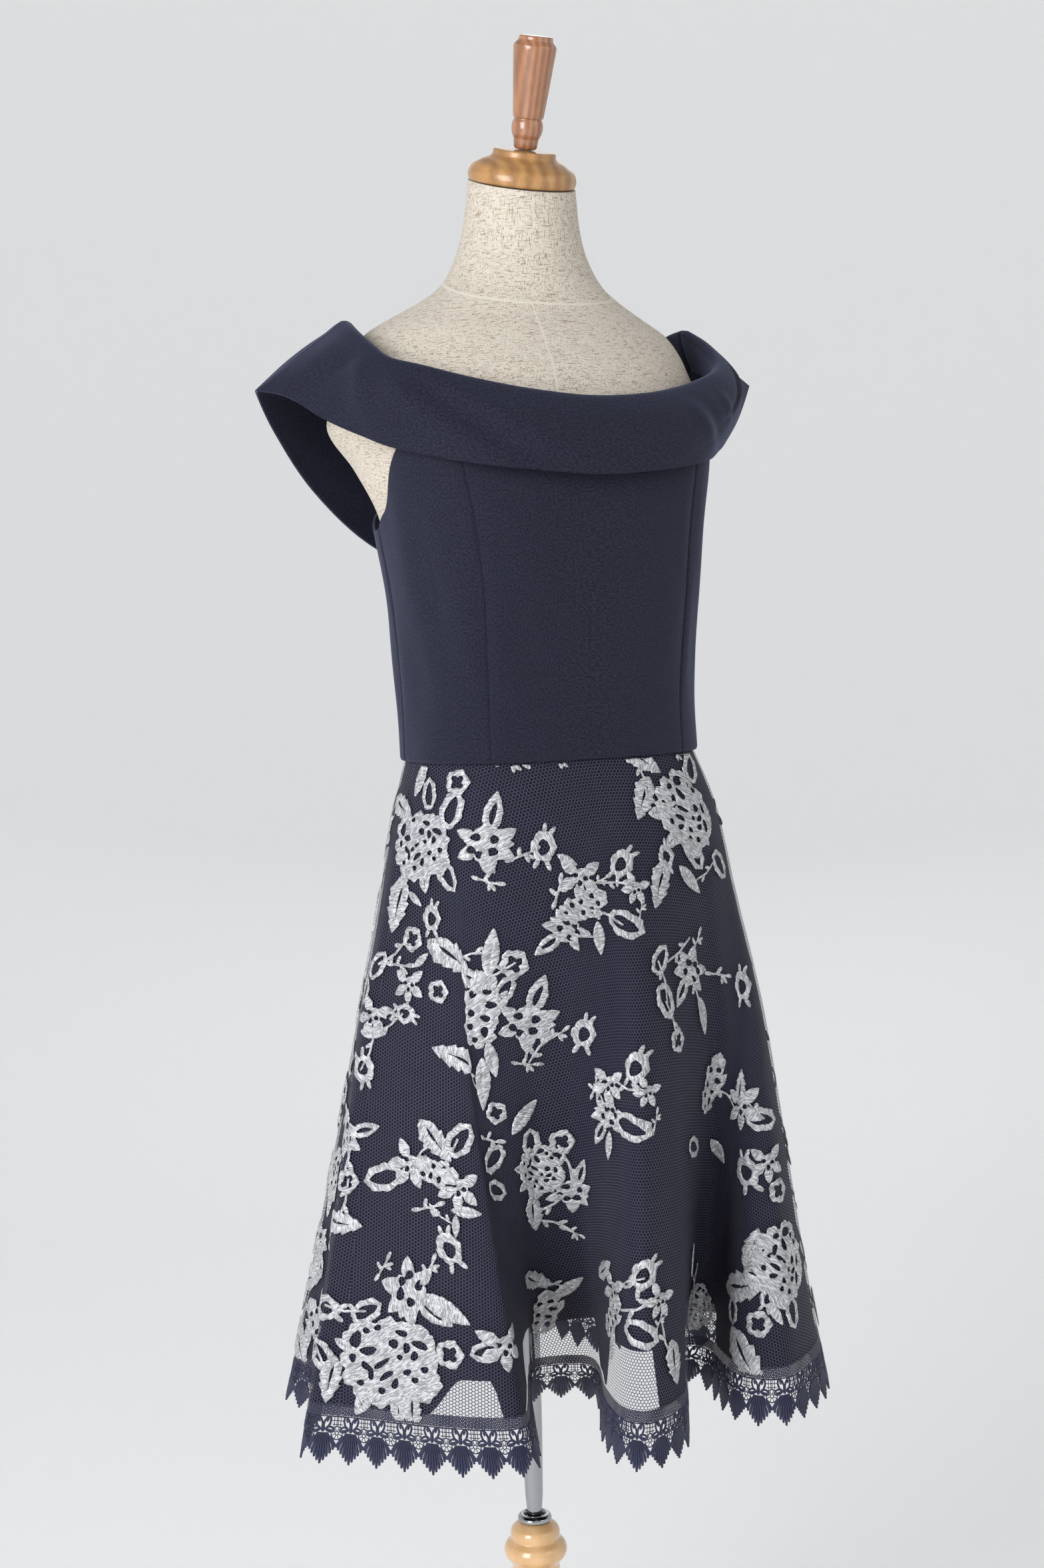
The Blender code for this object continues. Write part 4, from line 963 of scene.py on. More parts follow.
# Each form: kind, its numbers, and the direction of its stitches. Each eyelet: x, y, half long,
# half wide, turn. Y runs down the skirt.
MOTIFS = {
    "rose": {
        "forms": [
            (blob, (0, 0, 38, 31, -12, 13, 0.05), -32), (blob, (-22, -14, 15, 13, 0, 5, 0.08), -32),
            (blob, (25, 12, 14, 13, 0, 5, 0.08), -20), (blob, (20, -18, 14, 11, 20, 5, 0.08), -32),
            (leaf, (-20, 30, 22, 13, 120, 0.5), 40), (leaf, (8, 33, 20, 13, 80, 0.5), 10),
        ],
        "eyelets": [
            (-27, -14, 3.2, 4.6, 20), (-19, -21, 2.2, 1.6, 0), (-10, -24, 2.4, 1.5, -20),
            (9, -22, 3.6, 1.6, 10), (3, -14, 2.8, 2.4, 0), (13, -12, 2.0, 2.8, 0),
            (23, -15, 4.6, 2.0, 15), (19, -7, 2.0, 2.6, 20), (8, -5, 1.8, 1.4, 0),
            (-17, -7, 5.0, 2.2, -10), (-29, -1, 2.0, 2.4, 0), (-18, 4, 3.6, 1.8, 30),
            (-14, 9, 1.6, 3.4, 0), (-6, 1, 5.4, 1.4, -35), (-2, 9, 4.6, 1.6, -35),
            (-22, 16, 2.2, 1.6, 0), (5, 14, 1.8, 3.0, 20), (-5, 20, 2.2, 1.8, 0),
            (14, 5, 2.4, 1.6, -20), (20, 10, 2.0, 1.6, 0), (27, 2, 2.2, 1.8, 0),
        ],
    },
    "spray": {
        "forms": [
            (blob, (0, -4, 15, 17, 0, 7, 0.09), -35), (blob, (-4, 14, 14, 14, 0, 7, 0.10), -25),
            (leaf, (13, -6, 20, 10, -60, 0.4), 20), (blob, (2, -20, 10, 9, 0, 5, 0.08), -50),
        ],
        "eyelets": [
            (-6, -12, 2.4, 2.0, 0), (5, -14, 2.4, 1.8, 0), (7, -4, 3.0, 2.0, 10), (-8, 2, 2.4, 2.0, 0),
            (3, 6, 2.8, 1.8, 20), (-10, 12, 2.6, 1.8, 0), (2, 16, 2.0, 3.0, 0), (-6, 22, 2.0, 1.6, 0),
        ],
    },
    "lily": {
        "forms": [
            (leaf, (5, -22, 36, 17, -78, 0.0, 4), -10), (blob, (0, 3, 19, 14, 0, 7, 0.09), -35),
            (leaf, (-17, -5, 20, 11, 200, 0.0, 3), -30), (leaf, (-17, 10, 20, 12, 160, 0.0, 3), -30),
            (leaf, (15, -4, 20, 12, -30, 0.0, 3), -30), (leaf, (13, 10, 20, 11, 25, 0.0, 3), -30),
            (leaf, (1, 18, 20, 15, 85, 0.0, 3), -30),
        ],
        "eyelets": [
            (5, -21, 6.5, 1.8, -75), (-9, -3, 3.2, 2.2, 0), (6, -1, 2.6, 2.6, 0),
            (-13, 7, 3.0, 2.2, 20), (-6, 11, 2.8, 2.2, 0), (4, 9, 3.8, 2.4, -10),
        ],
    },
    "petals": {
        "forms": [
            (blob, (0, 0, 8, 8, 0, 5, 0.08), -30), (leaf, (-12, -8, 20, 12, 215, 0.0, 3), -40),
            (leaf, (11, -9, 20, 12, -40, 0.0, 3), 15), (leaf, (-12, 8, 19, 12, 145, 0.0, 3), -10),
            (leaf, (12, 8, 19, 12, 35, 0.0, 3), -55), (leaf, (0, 14, 18, 11, 90, 0.0, 3), 0),
        ],
        "eyelets": [(-5, -1, 2.0, 1.6, 0), (5, 1, 2.0, 1.6, 0), (0, 6, 1.6, 2.2, 0)],
    },
    "ringlet": {
        "forms": [
            (blob, (0, 0, 9.5, 9.5, 0, 5, 0.07), -30),
        ],
        "eyelets": [(-2.4, -2.4, 2.0, 1.7, 45), (2.4, -2.4, 2.0, 1.7, -45),
                    (-2.4, 2.4, 2.0, 1.7, -45), (2.4, 2.4, 2.0, 1.7, 45)],
    },
    "bud": {
        "forms": [
            (blob, (0, 0, 10, 12, 0, 6, 0.06), 60), (blob, (-5, 14, 2.0, 4.6, 25, 3, 0.0), 0),
            (blob, (4.5, 14.5, 2.0, 5.0, -30, 3, 0.0), 0), (blob, (0, -14, 1.8, 4.6, 5, 3, 0.0), 0),
            (blob, (6, -12.5, 1.8, 4.6, 40, 3, 0.0), 0),
        ],
        "eyelets": [(0, 1, 3.4, 4.6, 0)],
    },
    "loop": {
        "forms": [(blob, (0, 0, 14, 9, 0, 7, 0.05), 60)],
        "eyelets": [(-0.5, 0, 7.4, 3.2, 0)],
    },
    "leaf": {"forms": [(leaf, (0, 0, 38, 14, 0, 0.5, 6), 62)], "eyelets": []},
    "wing": {"forms": [(leaf, (0, 0, 42, 22, 0, 0.6, 5, 0.30), 70), (blob, (-8, 1, 10, 9, 0, 5, 0.10), 60)],
             "eyelets": [(-5, 0, 6.0, 0.9, 5)]},
    "sprig": {
        "forms": [
            (strand, (-12, 2, 12, -2, 1.0), 0), (blob, (-13, 2, 5, 2.1, -5, 3, 0.0), 90),
            (blob, (-3, -4, 2.0, 4.6, 20, 3, 0.0), 0), (blob, (3, 4, 1.9, 4.6, -15, 3, 0.0), 0),
            (blob, (12, -3, 5.2, 2.2, -15, 3, 0.0), 90), (blob, (7, 3.4, 4.2, 1.8, 35, 3, 0.0), 90),
        ],
        "eyelets": [],
    },
    "stem": {
        "forms": [(strand, (-16, 1, 0, -1.5, 0.9), 0), (strand, (0, -1.5, 16, 1, 0.9), 0),
                  (blob, (-5, 2, 3.6, 1.6, 35, 3, 0.0), 90), (blob, (6, -3.6, 3.6, 1.6, -30, 3, 0.0), 90)],
        "eyelets": [],
    },
}
STEM_LENGTH = 32.0


def motif_field(motif, x, y):
    """The depth inside the motif and which form each point belongs to."""
    layers = np.stack([kind(x, y, *numbers) for kind, numbers, _ in motif["forms"]])
    depth, form = layers.max(0), layers.argmax(0)
    for eyelet_x, eyelet_y, half_long, half_wide, degrees in motif["eyelets"]:
        hole = blob(x, y, eyelet_x, eyelet_y, half_long * EYELET_GROWTH, half_wide * EYELET_GROWTH,
                    degrees, 3, 0.08)
        depth = np.minimum(depth, -hole)
    return depth, form


def cut_motif(motif):
    """Cut a grid along the motif's outline: points, depths, faces and stitch directions."""
    reach = 62.0
    steps = np.arange(-reach, reach + MOTIF_CELL, MOTIF_CELL)
    x, y = np.meshgrid(steps, steps)
    depth, _ = motif_field(motif, x, y)
    points, depths, faces, directions = [], [], [], []
    known = {}
    stitch = [direction for _, _, direction in motif["forms"]]

    def corner(row, column):
        key = (row, column)
        if key not in known:
            known[key] = len(points)
            points.append((x[key], y[key]))
            depths.append(depth[key])
        return known[key]

    def crossing(a, b):
        key = (min(a, b), max(a, b))
        if key not in known:
            share = depth[a] / (depth[a] - depth[b])
            known[key] = len(points)
            points.append((x[a] + (x[b] - x[a]) * share, y[a] + (y[b] - y[a]) * share))
            depths.append(0.0)
        return known[key]

    rows, columns = np.nonzero((depth[:-1, :-1] > 0) | (depth[1:, :-1] > 0)
                               | (depth[:-1, 1:] > 0) | (depth[1:, 1:] > 0))
    _, form = motif_field(motif, x[:-1, :-1] + MOTIF_CELL / 2, y[:-1, :-1] + MOTIF_CELL / 2)
    for row, column in zip(rows.tolist(), columns.tolist()):
        square = [(row, column), (row + 1, column), (row + 1, column + 1), (row, column + 1)]
        face = []
        for here, after in zip(square, square[1:] + square[:1]):
            if depth[here] > 0:
                face.append(corner(*here))
            if (depth[here] > 0) != (depth[after] > 0):
                face.append(crossing(here, after))
        if len(face) >= 3:
            faces.append(face)
            directions.append(stitch[form[row, column]])
    return np.array(points), np.array(depths), faces, np.array(directions)


CUT_MOTIFS = {name: cut_motif(motif) for name, motif in MOTIFS.items()}
for name, (_, _, faces, _) in CUT_MOTIFS.items():
    print("motif", name, len(faces), "faces")

# %% [markdown]
# ## Laying the embroidery on the net
#
# Motifs are placed where the photograph shows them. The camera finds the point of the skirt
# under each place, and the motif is then wrapped on the cloth there, so it follows the folds.
# The hidden half of the skirt takes the same layout half a turn further round.

# %% Places of the motifs
MOTIF_PLACES = [
    # motif, pixel across, pixel down, turn, size, mirrored
    ("leaf", 634, 1163, -72, 0.95, 0), ("loop", 645, 1194, -95, 0.9, 0), ("loop", 678, 1218, -70, 1.1, 0),
    ("ringlet", 687, 1175, 0, 1.05, 0), ("rose", 630, 1272, 0, 0.86, 0), ("wing", 604, 1213, 20, 0.9, 0),
    ("loop", 673, 1316, 60, 0.95, 0), ("lily", 731, 1262, 0, 0.98, 0), ("sprig", 733, 1323, 25, 0.8, 0),
    ("wing", 599, 1358, 100, 1.15, 0), ("leaf", 624, 1351, 35, 0.5, 0), ("bud", 649, 1378, 0, 0.85, 0),
    ("ringlet", 620, 1408, 20, 1.05, 0), ("loop", 567, 1450, -60, 0.9, 0), ("sprig", 602, 1449, 10, 0.9, 0),
    ("leaf", 633, 1442, -40, 0.5, 0), ("petals", 614, 1476, 0, 0.72, 0), ("ringlet", 658, 1489, 0, 0.95, 0),
    ("loop", 551, 1487, 90, 0.8, 0), ("petals", 560, 1524, 20, 0.8, 0), ("bud", 609, 1521, 95, 0.8, 0),
    ("leaf", 561, 1552, 0, 0.75, 0), ("bud", 545, 1606, 150, 0.95, 0),
    ("wing", 683, 1438, 32, 1.1, 0), ("leaf", 737, 1430, -82, 1.05, 0), ("ringlet", 772, 1449, 20, 1.2, 0),
    ("wing", 716, 1470, 20, 0.8, 0), ("spray", 722, 1518, 0, 1.05, 0), ("wing", 688, 1590, 200, 1.0, 0),
    ("leaf", 724, 1630, 96, 1.15, 0), ("leaf", 738, 1590, 80, 0.8, 0), ("ringlet", 745, 1670, 30, 0.95, 0),
    ("lily", 793, 1530, 8, 0.95, 0), ("sprig", 789, 1597, 20, 0.75, 0), ("sprig", 835, 1553, -15, 0.8, 0),
    ("loop", 758, 1485, -60, 0.8, 0), ("bud", 878, 1552, 10, 0.95, 0),
    ("sprig", 786, 1284, -10, 0.85, 0), ("bud", 817, 1270, 8, 1.0, 0), ("leaf", 852, 1290, 30, 0.5, 0),
    ("petals", 872, 1318, 10, 0.85, 0), ("sprig", 838, 1336, -60, 0.85, 0), ("bud", 932, 1298, 35, 0.95, 0),
    ("sprig", 902, 1322, -10, 0.6, 0), ("petals", 955, 1333, 30, 0.62, 0), ("spray", 880, 1362, 60, 0.72, 0),
    ("loop", 937, 1388, 30, 1.15, 0), ("leaf", 900, 1410, 88, 0.72, 0), ("lily", 848, 1397, -140, 0.72, 0),
    ("sprig", 962, 1365, -60, 0.6, 0),
    ("wing", 962, 1138, 40, 1.0, 0), ("wing", 966, 1197, 120, 0.95, 0), ("rose", 1030, 1222, 62, 0.90, 0),
    ("loop", 1036, 1153, -60, 1.0, 0), ("loop", 1043, 1283, 60, 1.0, 0), ("loop", 1080, 1297, 55, 1.0, 0),
    ("leaf", 1036, 1319, 48, 0.9, 0), ("wing", 991, 1328, 115, 1.0, 0), ("bud", 1000, 1287, 0, 0.8, 0),
    ("sprig", 1012, 1127, 20, 0.8, 0),
    ("lily", 1035, 1462, -150, 0.85, 0), ("leaf", 1055, 1525, 80, 0.9, 0), ("sprig", 1046, 1415, -40, 0.8, 0),
    ("loop", 991, 1442, -50, 0.95, 0), ("loop", 1000, 1503, 70, 1.1, 0), ("ringlet", 1017, 1560, 0, 1.05, 0),
    ("bud", 1113, 1479, 0, 1.0, 0), ("sprig", 1082, 1463, 25, 0.85, 0),
    ("bud", 954, 1603, 20, 1.0, 0), ("petals", 972, 1640, 30, 0.6, 0), ("petals", 914, 1625, 10, 0.75, 0),
    ("sprig", 893, 1628, -60, 0.7, 0), ("lily", 912, 1676, -160, 0.7, 0), ("loop", 944, 1692, 25, 1.15, 0),
    ("leaf", 915, 1718, 95, 0.65, 0), ("sprig", 985, 1680, -60, 0.6, 0),
    ("spray", 1068, 1628, 20, 0.95, 0), ("petals", 1113, 1660, 0, 0.95, 0), ("loop", 1142, 1682, 10, 1.1, 0),
    ("wing", 1112, 1632, -80, 0.75, 0), ("bud", 1120, 1757, -20, 1.05, 0), ("petals", 1154, 1743, 0, 0.8, 0),
    ("ringlet", 1169, 1787, 0, 1.05, 0), ("loop", 1041, 1722, 20, 1.0, 0), ("leaf", 1080, 1728, 60, 0.7, 0),
    ("lily", 522, 1702, 60, 0.75, 0), ("ringlet", 521, 1773, 0, 1.05, 0), ("wing", 511, 1836, 5, 0.95, 0),
    ("leaf", 498, 1800, 95, 0.9, 0), ("leaf", 479, 1893, 100, 1.1, 0),
    ("loop", 577, 1766, 165, 1.25, 0), ("petals", 617, 1746, 30, 0.9, 0), ("wing", 655, 1712, 50, 1.0, 0),
    ("loop", 692, 1713, -50, 1.15, 0), ("spray", 655, 1762, 90, 0.7, 0), ("petals", 690, 1782, 10, 0.85, 0),
    ("leaf", 702, 1820, 5, 0.7, 0), ("leaf", 684, 1840, 95, 0.5, 0), ("sprig", 645, 1812, -5, 0.9, 0),
    ("sprig", 736, 1713, 25, 0.9, 0), ("loop", 740, 1741, 150, 1.1, 0), ("loop", 744, 1786, 20, 0.95, 0),
    ("bud", 676, 1874, -25, 1.05, 0), ("sprig", 645, 1905, -50, 0.85, 0), ("lily", 620, 1942, 110, 1.05, 0),
    ("leaf", 668, 1968, 27, 1.25, 0), ("loop", 552, 1968, -30, 1.05, 0), ("bud", 487, 1964, -80, 1.05, 0),
    ("sprig", 577, 1900, -50, 0.8, 0), ("leaf", 786, 1677, -50, 0.95, 0), ("rose", 805, 1757, 70, 0.62, 0),
    ("loop", 796, 1717, -90, 0.9, 0), ("ringlet", 843, 1713, 0, 1.15, 0), ("lily", 862, 1785, 10, 0.8, 0),
    ("wing", 801, 1822, 80, 0.85, 0), ("sprig", 862, 1850, 40, 0.75, 0),
    ("rose", 585, 2048, 0, 1.14, 0), ("leaf", 463, 2008, 95, 0.95, 0), ("wing", 495, 2070, 95, 0.95, 0),
    ("loop", 480, 2032, 40, 1.1, 0), ("ringlet", 674, 2034, 0, 1.2, 0), ("petals", 757, 2022, 0, 0.95, 0),
    ("loop", 728, 2030, 165, 0.85, 0), ("wing", 620, 2122, 85, 0.8, 0), ("leaf", 520, 2020, 30, 0.6, 0),
    ("wing", 908, 1905, -40, 0.75, 0), ("petals", 921, 1936, 10, 0.85, 0), ("bud", 966, 1914, 35, 1.05, 0),
    ("petals", 990, 1950, 30, 0.7, 0), ("spray", 922, 1976, 20, 0.75, 0), ("loop", 960, 2002, 25, 1.2, 0),
    ("leaf", 921, 2022, 100, 0.85, 0), ("wing", 1012, 2044, 80, 0.95, 0), ("sprig", 990, 1985, -50, 0.6, 0),
    ("rose", 1176, 1898, 75, 0.88, 0), ("wing", 1129, 1877, -75, 0.95, 0), ("wing", 1114, 1932, -15, 1.3, 0),
    ("loop", 1101, 1967, 80, 0.8, 0), ("ringlet", 1138, 1988, 0, 1.15, 0), ("leaf", 1166, 1974, 60, 0.6, 0),
    ("loop", 1190, 1970, 80, 1.0, 0), ("wing", 1118, 2038, 52, 1.35, 0), ("bud", 1155, 1950, 20, 0.7, 0),
    ("sprig", 765, 1133, 5, 0.9, 0), ("sprig", 836, 1136, 5, 0.8, 0),
    ("wing", 800, 1922, 30, 0.95, 0), ("leaf", 855, 1933, -40, 0.95, 0), ("spray", 818, 1968, 0, 0.9, 0),
    ("rose", 1045, 1960, 60, 0.6, 0), ("leaf", 1040, 1890, -70, 0.8, 0),
    ("bud", 494, 1640, 0, 0.7, 0),
]


# The side seams, which the photograph hides, carry the same motifs: share, depth, turn and size.
SIDE_MOTIFS = [
    ("lily", 0.748, 0.10, 10, 0.95), ("sprig", 0.768, 0.17, -60, 0.8), ("bud", 0.738, 0.21, 20, 0.9),
    ("spray", 0.757, 0.30, -10, 0.95), ("wing", 0.739, 0.345, 70, 0.9), ("leaf", 0.772, 0.37, -60, 0.9),
    ("petals", 0.748, 0.44, 15, 0.95), ("ringlet", 0.768, 0.50, 0, 1.1), ("loop", 0.736, 0.52, 40, 1.0),
    ("rose", 0.752, 0.62, 30, 0.75), ("sprig", 0.735, 0.70, -40, 0.85), ("lily", 0.768, 0.74, -160, 0.8),
    ("bud", 0.742, 0.79, 0, 1.0), ("spray", 0.757, 0.86, 40, 0.9), ("wing", 0.738, 0.88, 80, 0.95),
]
SIDE_MIRROR = 0.937
STEM_REACH, PHOTO_SCALE = (48.0, 78.0), 1.76


def find_on_skirt(places):
    """The nearest point of the skirt to the camera under each pixel, as share and depth."""
    share, depth = np.meshgrid(np.arange(0.13, 0.83, 0.0009), np.arange(0.0, NET_HEM, 0.0035), indexing="ij")
    across, down, away = photo_pixel(skirt_point(share, depth))
    found = []
    for pixel_across, pixel_down in places:
        off = np.hypot(across - pixel_across, down - pixel_down)
        near = off < max(4.0, off.min() + 2.0)
        front = near & (away < away[near].min() + 0.02)
        best = np.argmin(np.where(front, off, np.inf))
        found.append((share.flat[best], depth.flat[best]))
    return found


def lay_motif(cut, share, depth, degrees, size, mirrored, lift):
    """Wrap a cut motif on the skirt round one of its points."""
    points, inside, faces, directions = cut
    x, y = points[:, 0] * size * (-1 if mirrored else 1), points[:, 1] * size
    turn = radians(degrees)
    right, down = x * cos(turn) - y * sin(turn), x * sin(turn) + y * cos(turn)
    step = 1e-3
    fall = np.linalg.norm(skirt_point(share, depth + step) - skirt_point(share, depth)) / step
    depths = depth + down / fall
    run = np.linalg.norm(skirt_point(share + step, np.clip(depths, 0, 1))
                         - skirt_point(share - step, np.clip(depths, 0, 1)), axis=-1) / (2 * step)
    run = np.maximum(run, 0.55 * (WAIST_LENGTH + (HEM_LENGTH - WAIST_LENGTH) * np.clip(depths, 0, 1)))
    shares = share + right / run
    placed = skirt_point(shares, np.clip(depths, 0.002, 1.0))
    normal = surface_normal(skirt_point, shares, np.clip(depths, 0.002, 1.0))
    pile = 0.45 + lift + 0.75 * np.clip(inside * size / 1.1, 0.0, 1.0) ** 0.6
    placed = placed + normal * pile[:, None]
    corners = np.concatenate([np.asarray(face) for face in faces])
    owner = np.repeat(directions, [len(face) for face in faces])
    angle = np.radians(owner)
    u = x[corners] * np.cos(angle) + y[corners] * np.sin(angle)
    v = -x[corners] * np.sin(angle) + y[corners] * np.cos(angle)
    uv = np.stack([u + owner * 1.7, v + share * 300.0], -1)
    kept = (depths > 0.003) & (depths < NET_HEM - 0.004)
    return placed, faces, uv, kept


def with_stems(rows):
    """Join motifs that follow each other closely in the list by a stem between them."""
    stems = []
    for (_, x0, y0, *_), (_, x1, y1, *_) in zip(rows[:-1], rows[1:]):
        apart = float(np.hypot(x1 - x0, y1 - y0))
        if STEM_REACH[0] < apart < STEM_REACH[1]:
            turn = float(np.degrees(np.arctan2(y1 - y0, x1 - x0)))
            size = apart / PHOTO_SCALE / STEM_LENGTH
            stems.append(("stem", (x0 + x1) / 2, (y0 + y1) / 2, turn, size, 0))
    return rows + stems


def make_embroidery():
    rows = with_stems(MOTIF_PLACES)
    places = find_on_skirt([(row[1], row[2]) for row in rows])
    runs = {"embroidery_front_right": [], "embroidery_front_left": [],
            "embroidery_back_left": [], "embroidery_back_right": []}
    for index, ((share, depth), (name, _, _, degrees, size, mirrored)) in enumerate(zip(places, rows)):
        for shift in (0.0, 0.5):
            here = (share + shift) % 1.0
            if shift and not 0.78 < here + (1.0 if here < 0.3 else 0.0) < 1.17:
                continue
            piece = ("embroidery_back_right" if here < 0.25 else "embroidery_front_right" if here < 0.5
                     else "embroidery_front_left" if here < 0.75 else "embroidery_back_left")
            runs[piece].append((name, here, depth, degrees, size, mirrored, (index % 5) * 0.09))
    for index, (name, share, depth, degrees, size) in enumerate(SIDE_MOTIFS):
        lift = (index % 5) * 0.09
        runs["embroidery_back_left"].append((name, share, depth, degrees, size, 0, lift))
        runs["embroidery_back_right"].append((name, SIDE_MIRROR - share, depth, -degrees, size, 1, lift))
    for piece, laid in runs.items():
        points, faces, uv, first = [], [], [], 0
        for name, share, depth, degrees, size, mirrored, lift in laid:
            placed, motif_faces, motif_uv, kept = lay_motif(CUT_MOTIFS[name], share, depth, degrees, size,
                                                            mirrored, lift)
            start = 0
            for face in motif_faces:
                stop = start + len(face)
                if kept[face].all():
                    turned_face = face[::-1] if mirrored else face
                    faces.append([corner + first for corner in turned_face])
                    block = motif_uv[start:stop]
                    uv.append(block[::-1] if mirrored else block)
                start = stop
            points.append(placed)
            first += len(placed)
        points, uv = np.concatenate(points), np.concatenate(uv)
        used = np.unique(np.concatenate([np.asarray(face) for face in faces]))
        renumbered = np.full(len(points), -1)
        renumbered[used] = np.arange(len(used))
        faces = [renumbered[face] for face in faces]
        made = make_object(piece, points[used], faces, uv, SILVER_THREAD, 75.0)
        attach(made, "root")
        print(piece, len(laid), "motifs,", sum(len(face) - 2 for face in faces), "triangles")


make_embroidery()

# %% [markdown]
# ## Lace edging
#
# The lace is a chemical lace: cords wound with thread, with no ground behind them. One repeat
# is built flat, from a flower, a fan of fingers and a small net, and Geometry Nodes repeats it
# along the hem's length. The strip is then bent onto the skirt's surface below the net.

# %% One lace repeat
LACE_REPEATS_PER_HALF = 43
LACE_PITCH = HEM_LENGTH / 2 / LACE_REPEATS_PER_HALF


def cord_mesh(path, widths, thickness, sides=6):
    """A round cord along a flat path: x along the hem, y down, z out."""
    path = np.array(path, float)
    widths = np.interp(np.linspace(0, 1, len(path)), np.linspace(0, 1, len(widths)), widths)
    along = unit(np.gradient(path, axis=0))
    across = np.stack([-along[:, 1], along[:, 0]], -1)
    turns = np.linspace(0, 2 * pi, sides, endpoint=False)
    rings = []
    for place, side, width in zip(path, across, widths):
        rings.append(np.stack([place[0] + side[0] * np.cos(turns) * width / 2,
                               place[1] + side[1] * np.cos(turns) * width / 2,
                               np.sin(turns) * thickness / 2 * min(1.0, width / widths.max() + 0.35)], -1))
    points = np.concatenate(rings)
    reach = np.concatenate([[0], np.cumsum(np.linalg.norm(np.diff(path, axis=0), axis=1))])
    faces = []
    for ring in range(len(path) - 1):
        for side in range(sides):
            after = (side + 1) % sides
            faces.append([ring * sides + side, ring * sides + after,
                          (ring + 1) * sides + after, (ring + 1) * sides + side])
    faces.append(list(range(sides))[::-1])
    faces.append(list(range((len(path) - 1) * sides, len(path) * sides)))
    uv = np.stack([np.tile(turns * 0.8, len(path)), np.repeat(reach, sides)], -1)
    return points, faces, uv


def arc(centre_x, centre_y, half_long, half_wide, degrees, first=0.0, last=360.0, steps=9):
    turns = np.radians(np.linspace(first, last, steps))
    u, v = half_long * np.cos(turns), half_wide * np.sin(turns)
    turn = radians(degrees)
    return np.stack([centre_x + u * cos(turn) - v * sin(turn), centre_y + u * sin(turn) + v * cos(turn)], -1)


def lace_cords():
    """The cords of one repeat: the flower and fan at the middle, the net between fans."""
    half = LACE_PITCH / 2
    cords = []
    for side in (-1, 1):
        cords.append((arc(side * 3.4, 6.0, 5.6, 2.6, side * -68, steps=10), [2.0], 1.8))
        cords.append(([(side * 3.2, 5.0), (side * 4.6, 2.4)], [1.6], 1.4))
        cords.append((arc(side * 6.2, 11.2, 3.9, 2.1, side * 12, steps=9), [1.8], 1.7))
        cords.append(([(side * 1.5, 11.0), (side * 8.0, 12.4)], [1.8], 1.5))
    cords.append(([(0.0, 8.0), (0.0, 13.0)], [3.4, 2.6], 2.4))
    for reach, drop in ((0.0, 39.0), (2.7, 36.4), (5.3, 33.6), (7.8, 30.8), (10.2, 27.8)):
        for side in ((-1, 1) if reach else (1,)):
            start = (side * reach * 0.42, 14.0)
            middle = (side * reach * 0.78, 14.0 + (drop - 14.0) * 0.5)
            cords.append(([start, middle, (side * reach * 0.96, drop - 3.6), (side * reach, drop)],
                          [1.3, 2.2, 2.8, 1.9], 2.0))
    cords.append((arc(0.0, 19.5, 7.6, 3.4, 0, 20, 160, 6), [0.9], 0.9))
    for row, down in enumerate((1.0, 4.0, 7.2)):
        inner = half - (5.2 if row < 2 else 4.6)
        for side in (-1, 1):
            cords.append(([(side * inner, down), (side * half, down)], [0.75], 0.8))
    for column in (0.6, 2.8):
        for side in (-1, 1):
            cords.append(([(side * (half - column), 0.2), (side * (half - column), 8.8)], [0.7], 0.8))
    for side in (-1, 1):
        ring = arc(side * half, 14.2, 5.0, 5.4, 0, 90 * side, 90 * side + 180, 9)
        cords.append((ring, [1.0], 1.1))
        hub = arc(side * half, 14.2, 1.5, 1.6, 0, 90 * side, 90 * side + 180, 5)
        cords.append((hub, [0.8], 0.9))
        for degrees in (-68, -22, 22, 68):
            spoke = radians(degrees)
            cords.append(([(side * (half - 1.6 * cos(spoke)), 14.2 + 1.6 * sin(spoke)),
                           (side * (half - 4.9 * cos(spoke)), 14.2 + 5.3 * sin(spoke))], [0.7], 0.8))
        cords.append(([(side * (half - 5.4), 16.5), (side * (half - 2.6), 21.5), (side * half, 25.4)],
                      [1.8, 2.6, 2.4], 1.8))
    cords.append(([(-half, 0.5), (0.0, 0.5), (half, 0.5)], [1.0], 1.1))
    return cords


def flat_lace_repeat():
    points, faces, uv, first = [], [], [], 0
    for path, widths, thickness in lace_cords():
        cord_points, cord_faces, cord_uv = cord_mesh(path, widths, thickness)
        points.append(cord_points)
        faces += [[corner + first for corner in face] for face in cord_faces]
        uv.append(cord_uv)
        first += len(cord_points)
    made = make_object("lace repeat", np.concatenate(points) / MM * MM, faces, np.concatenate(uv), NAVY_CORD)
    return made


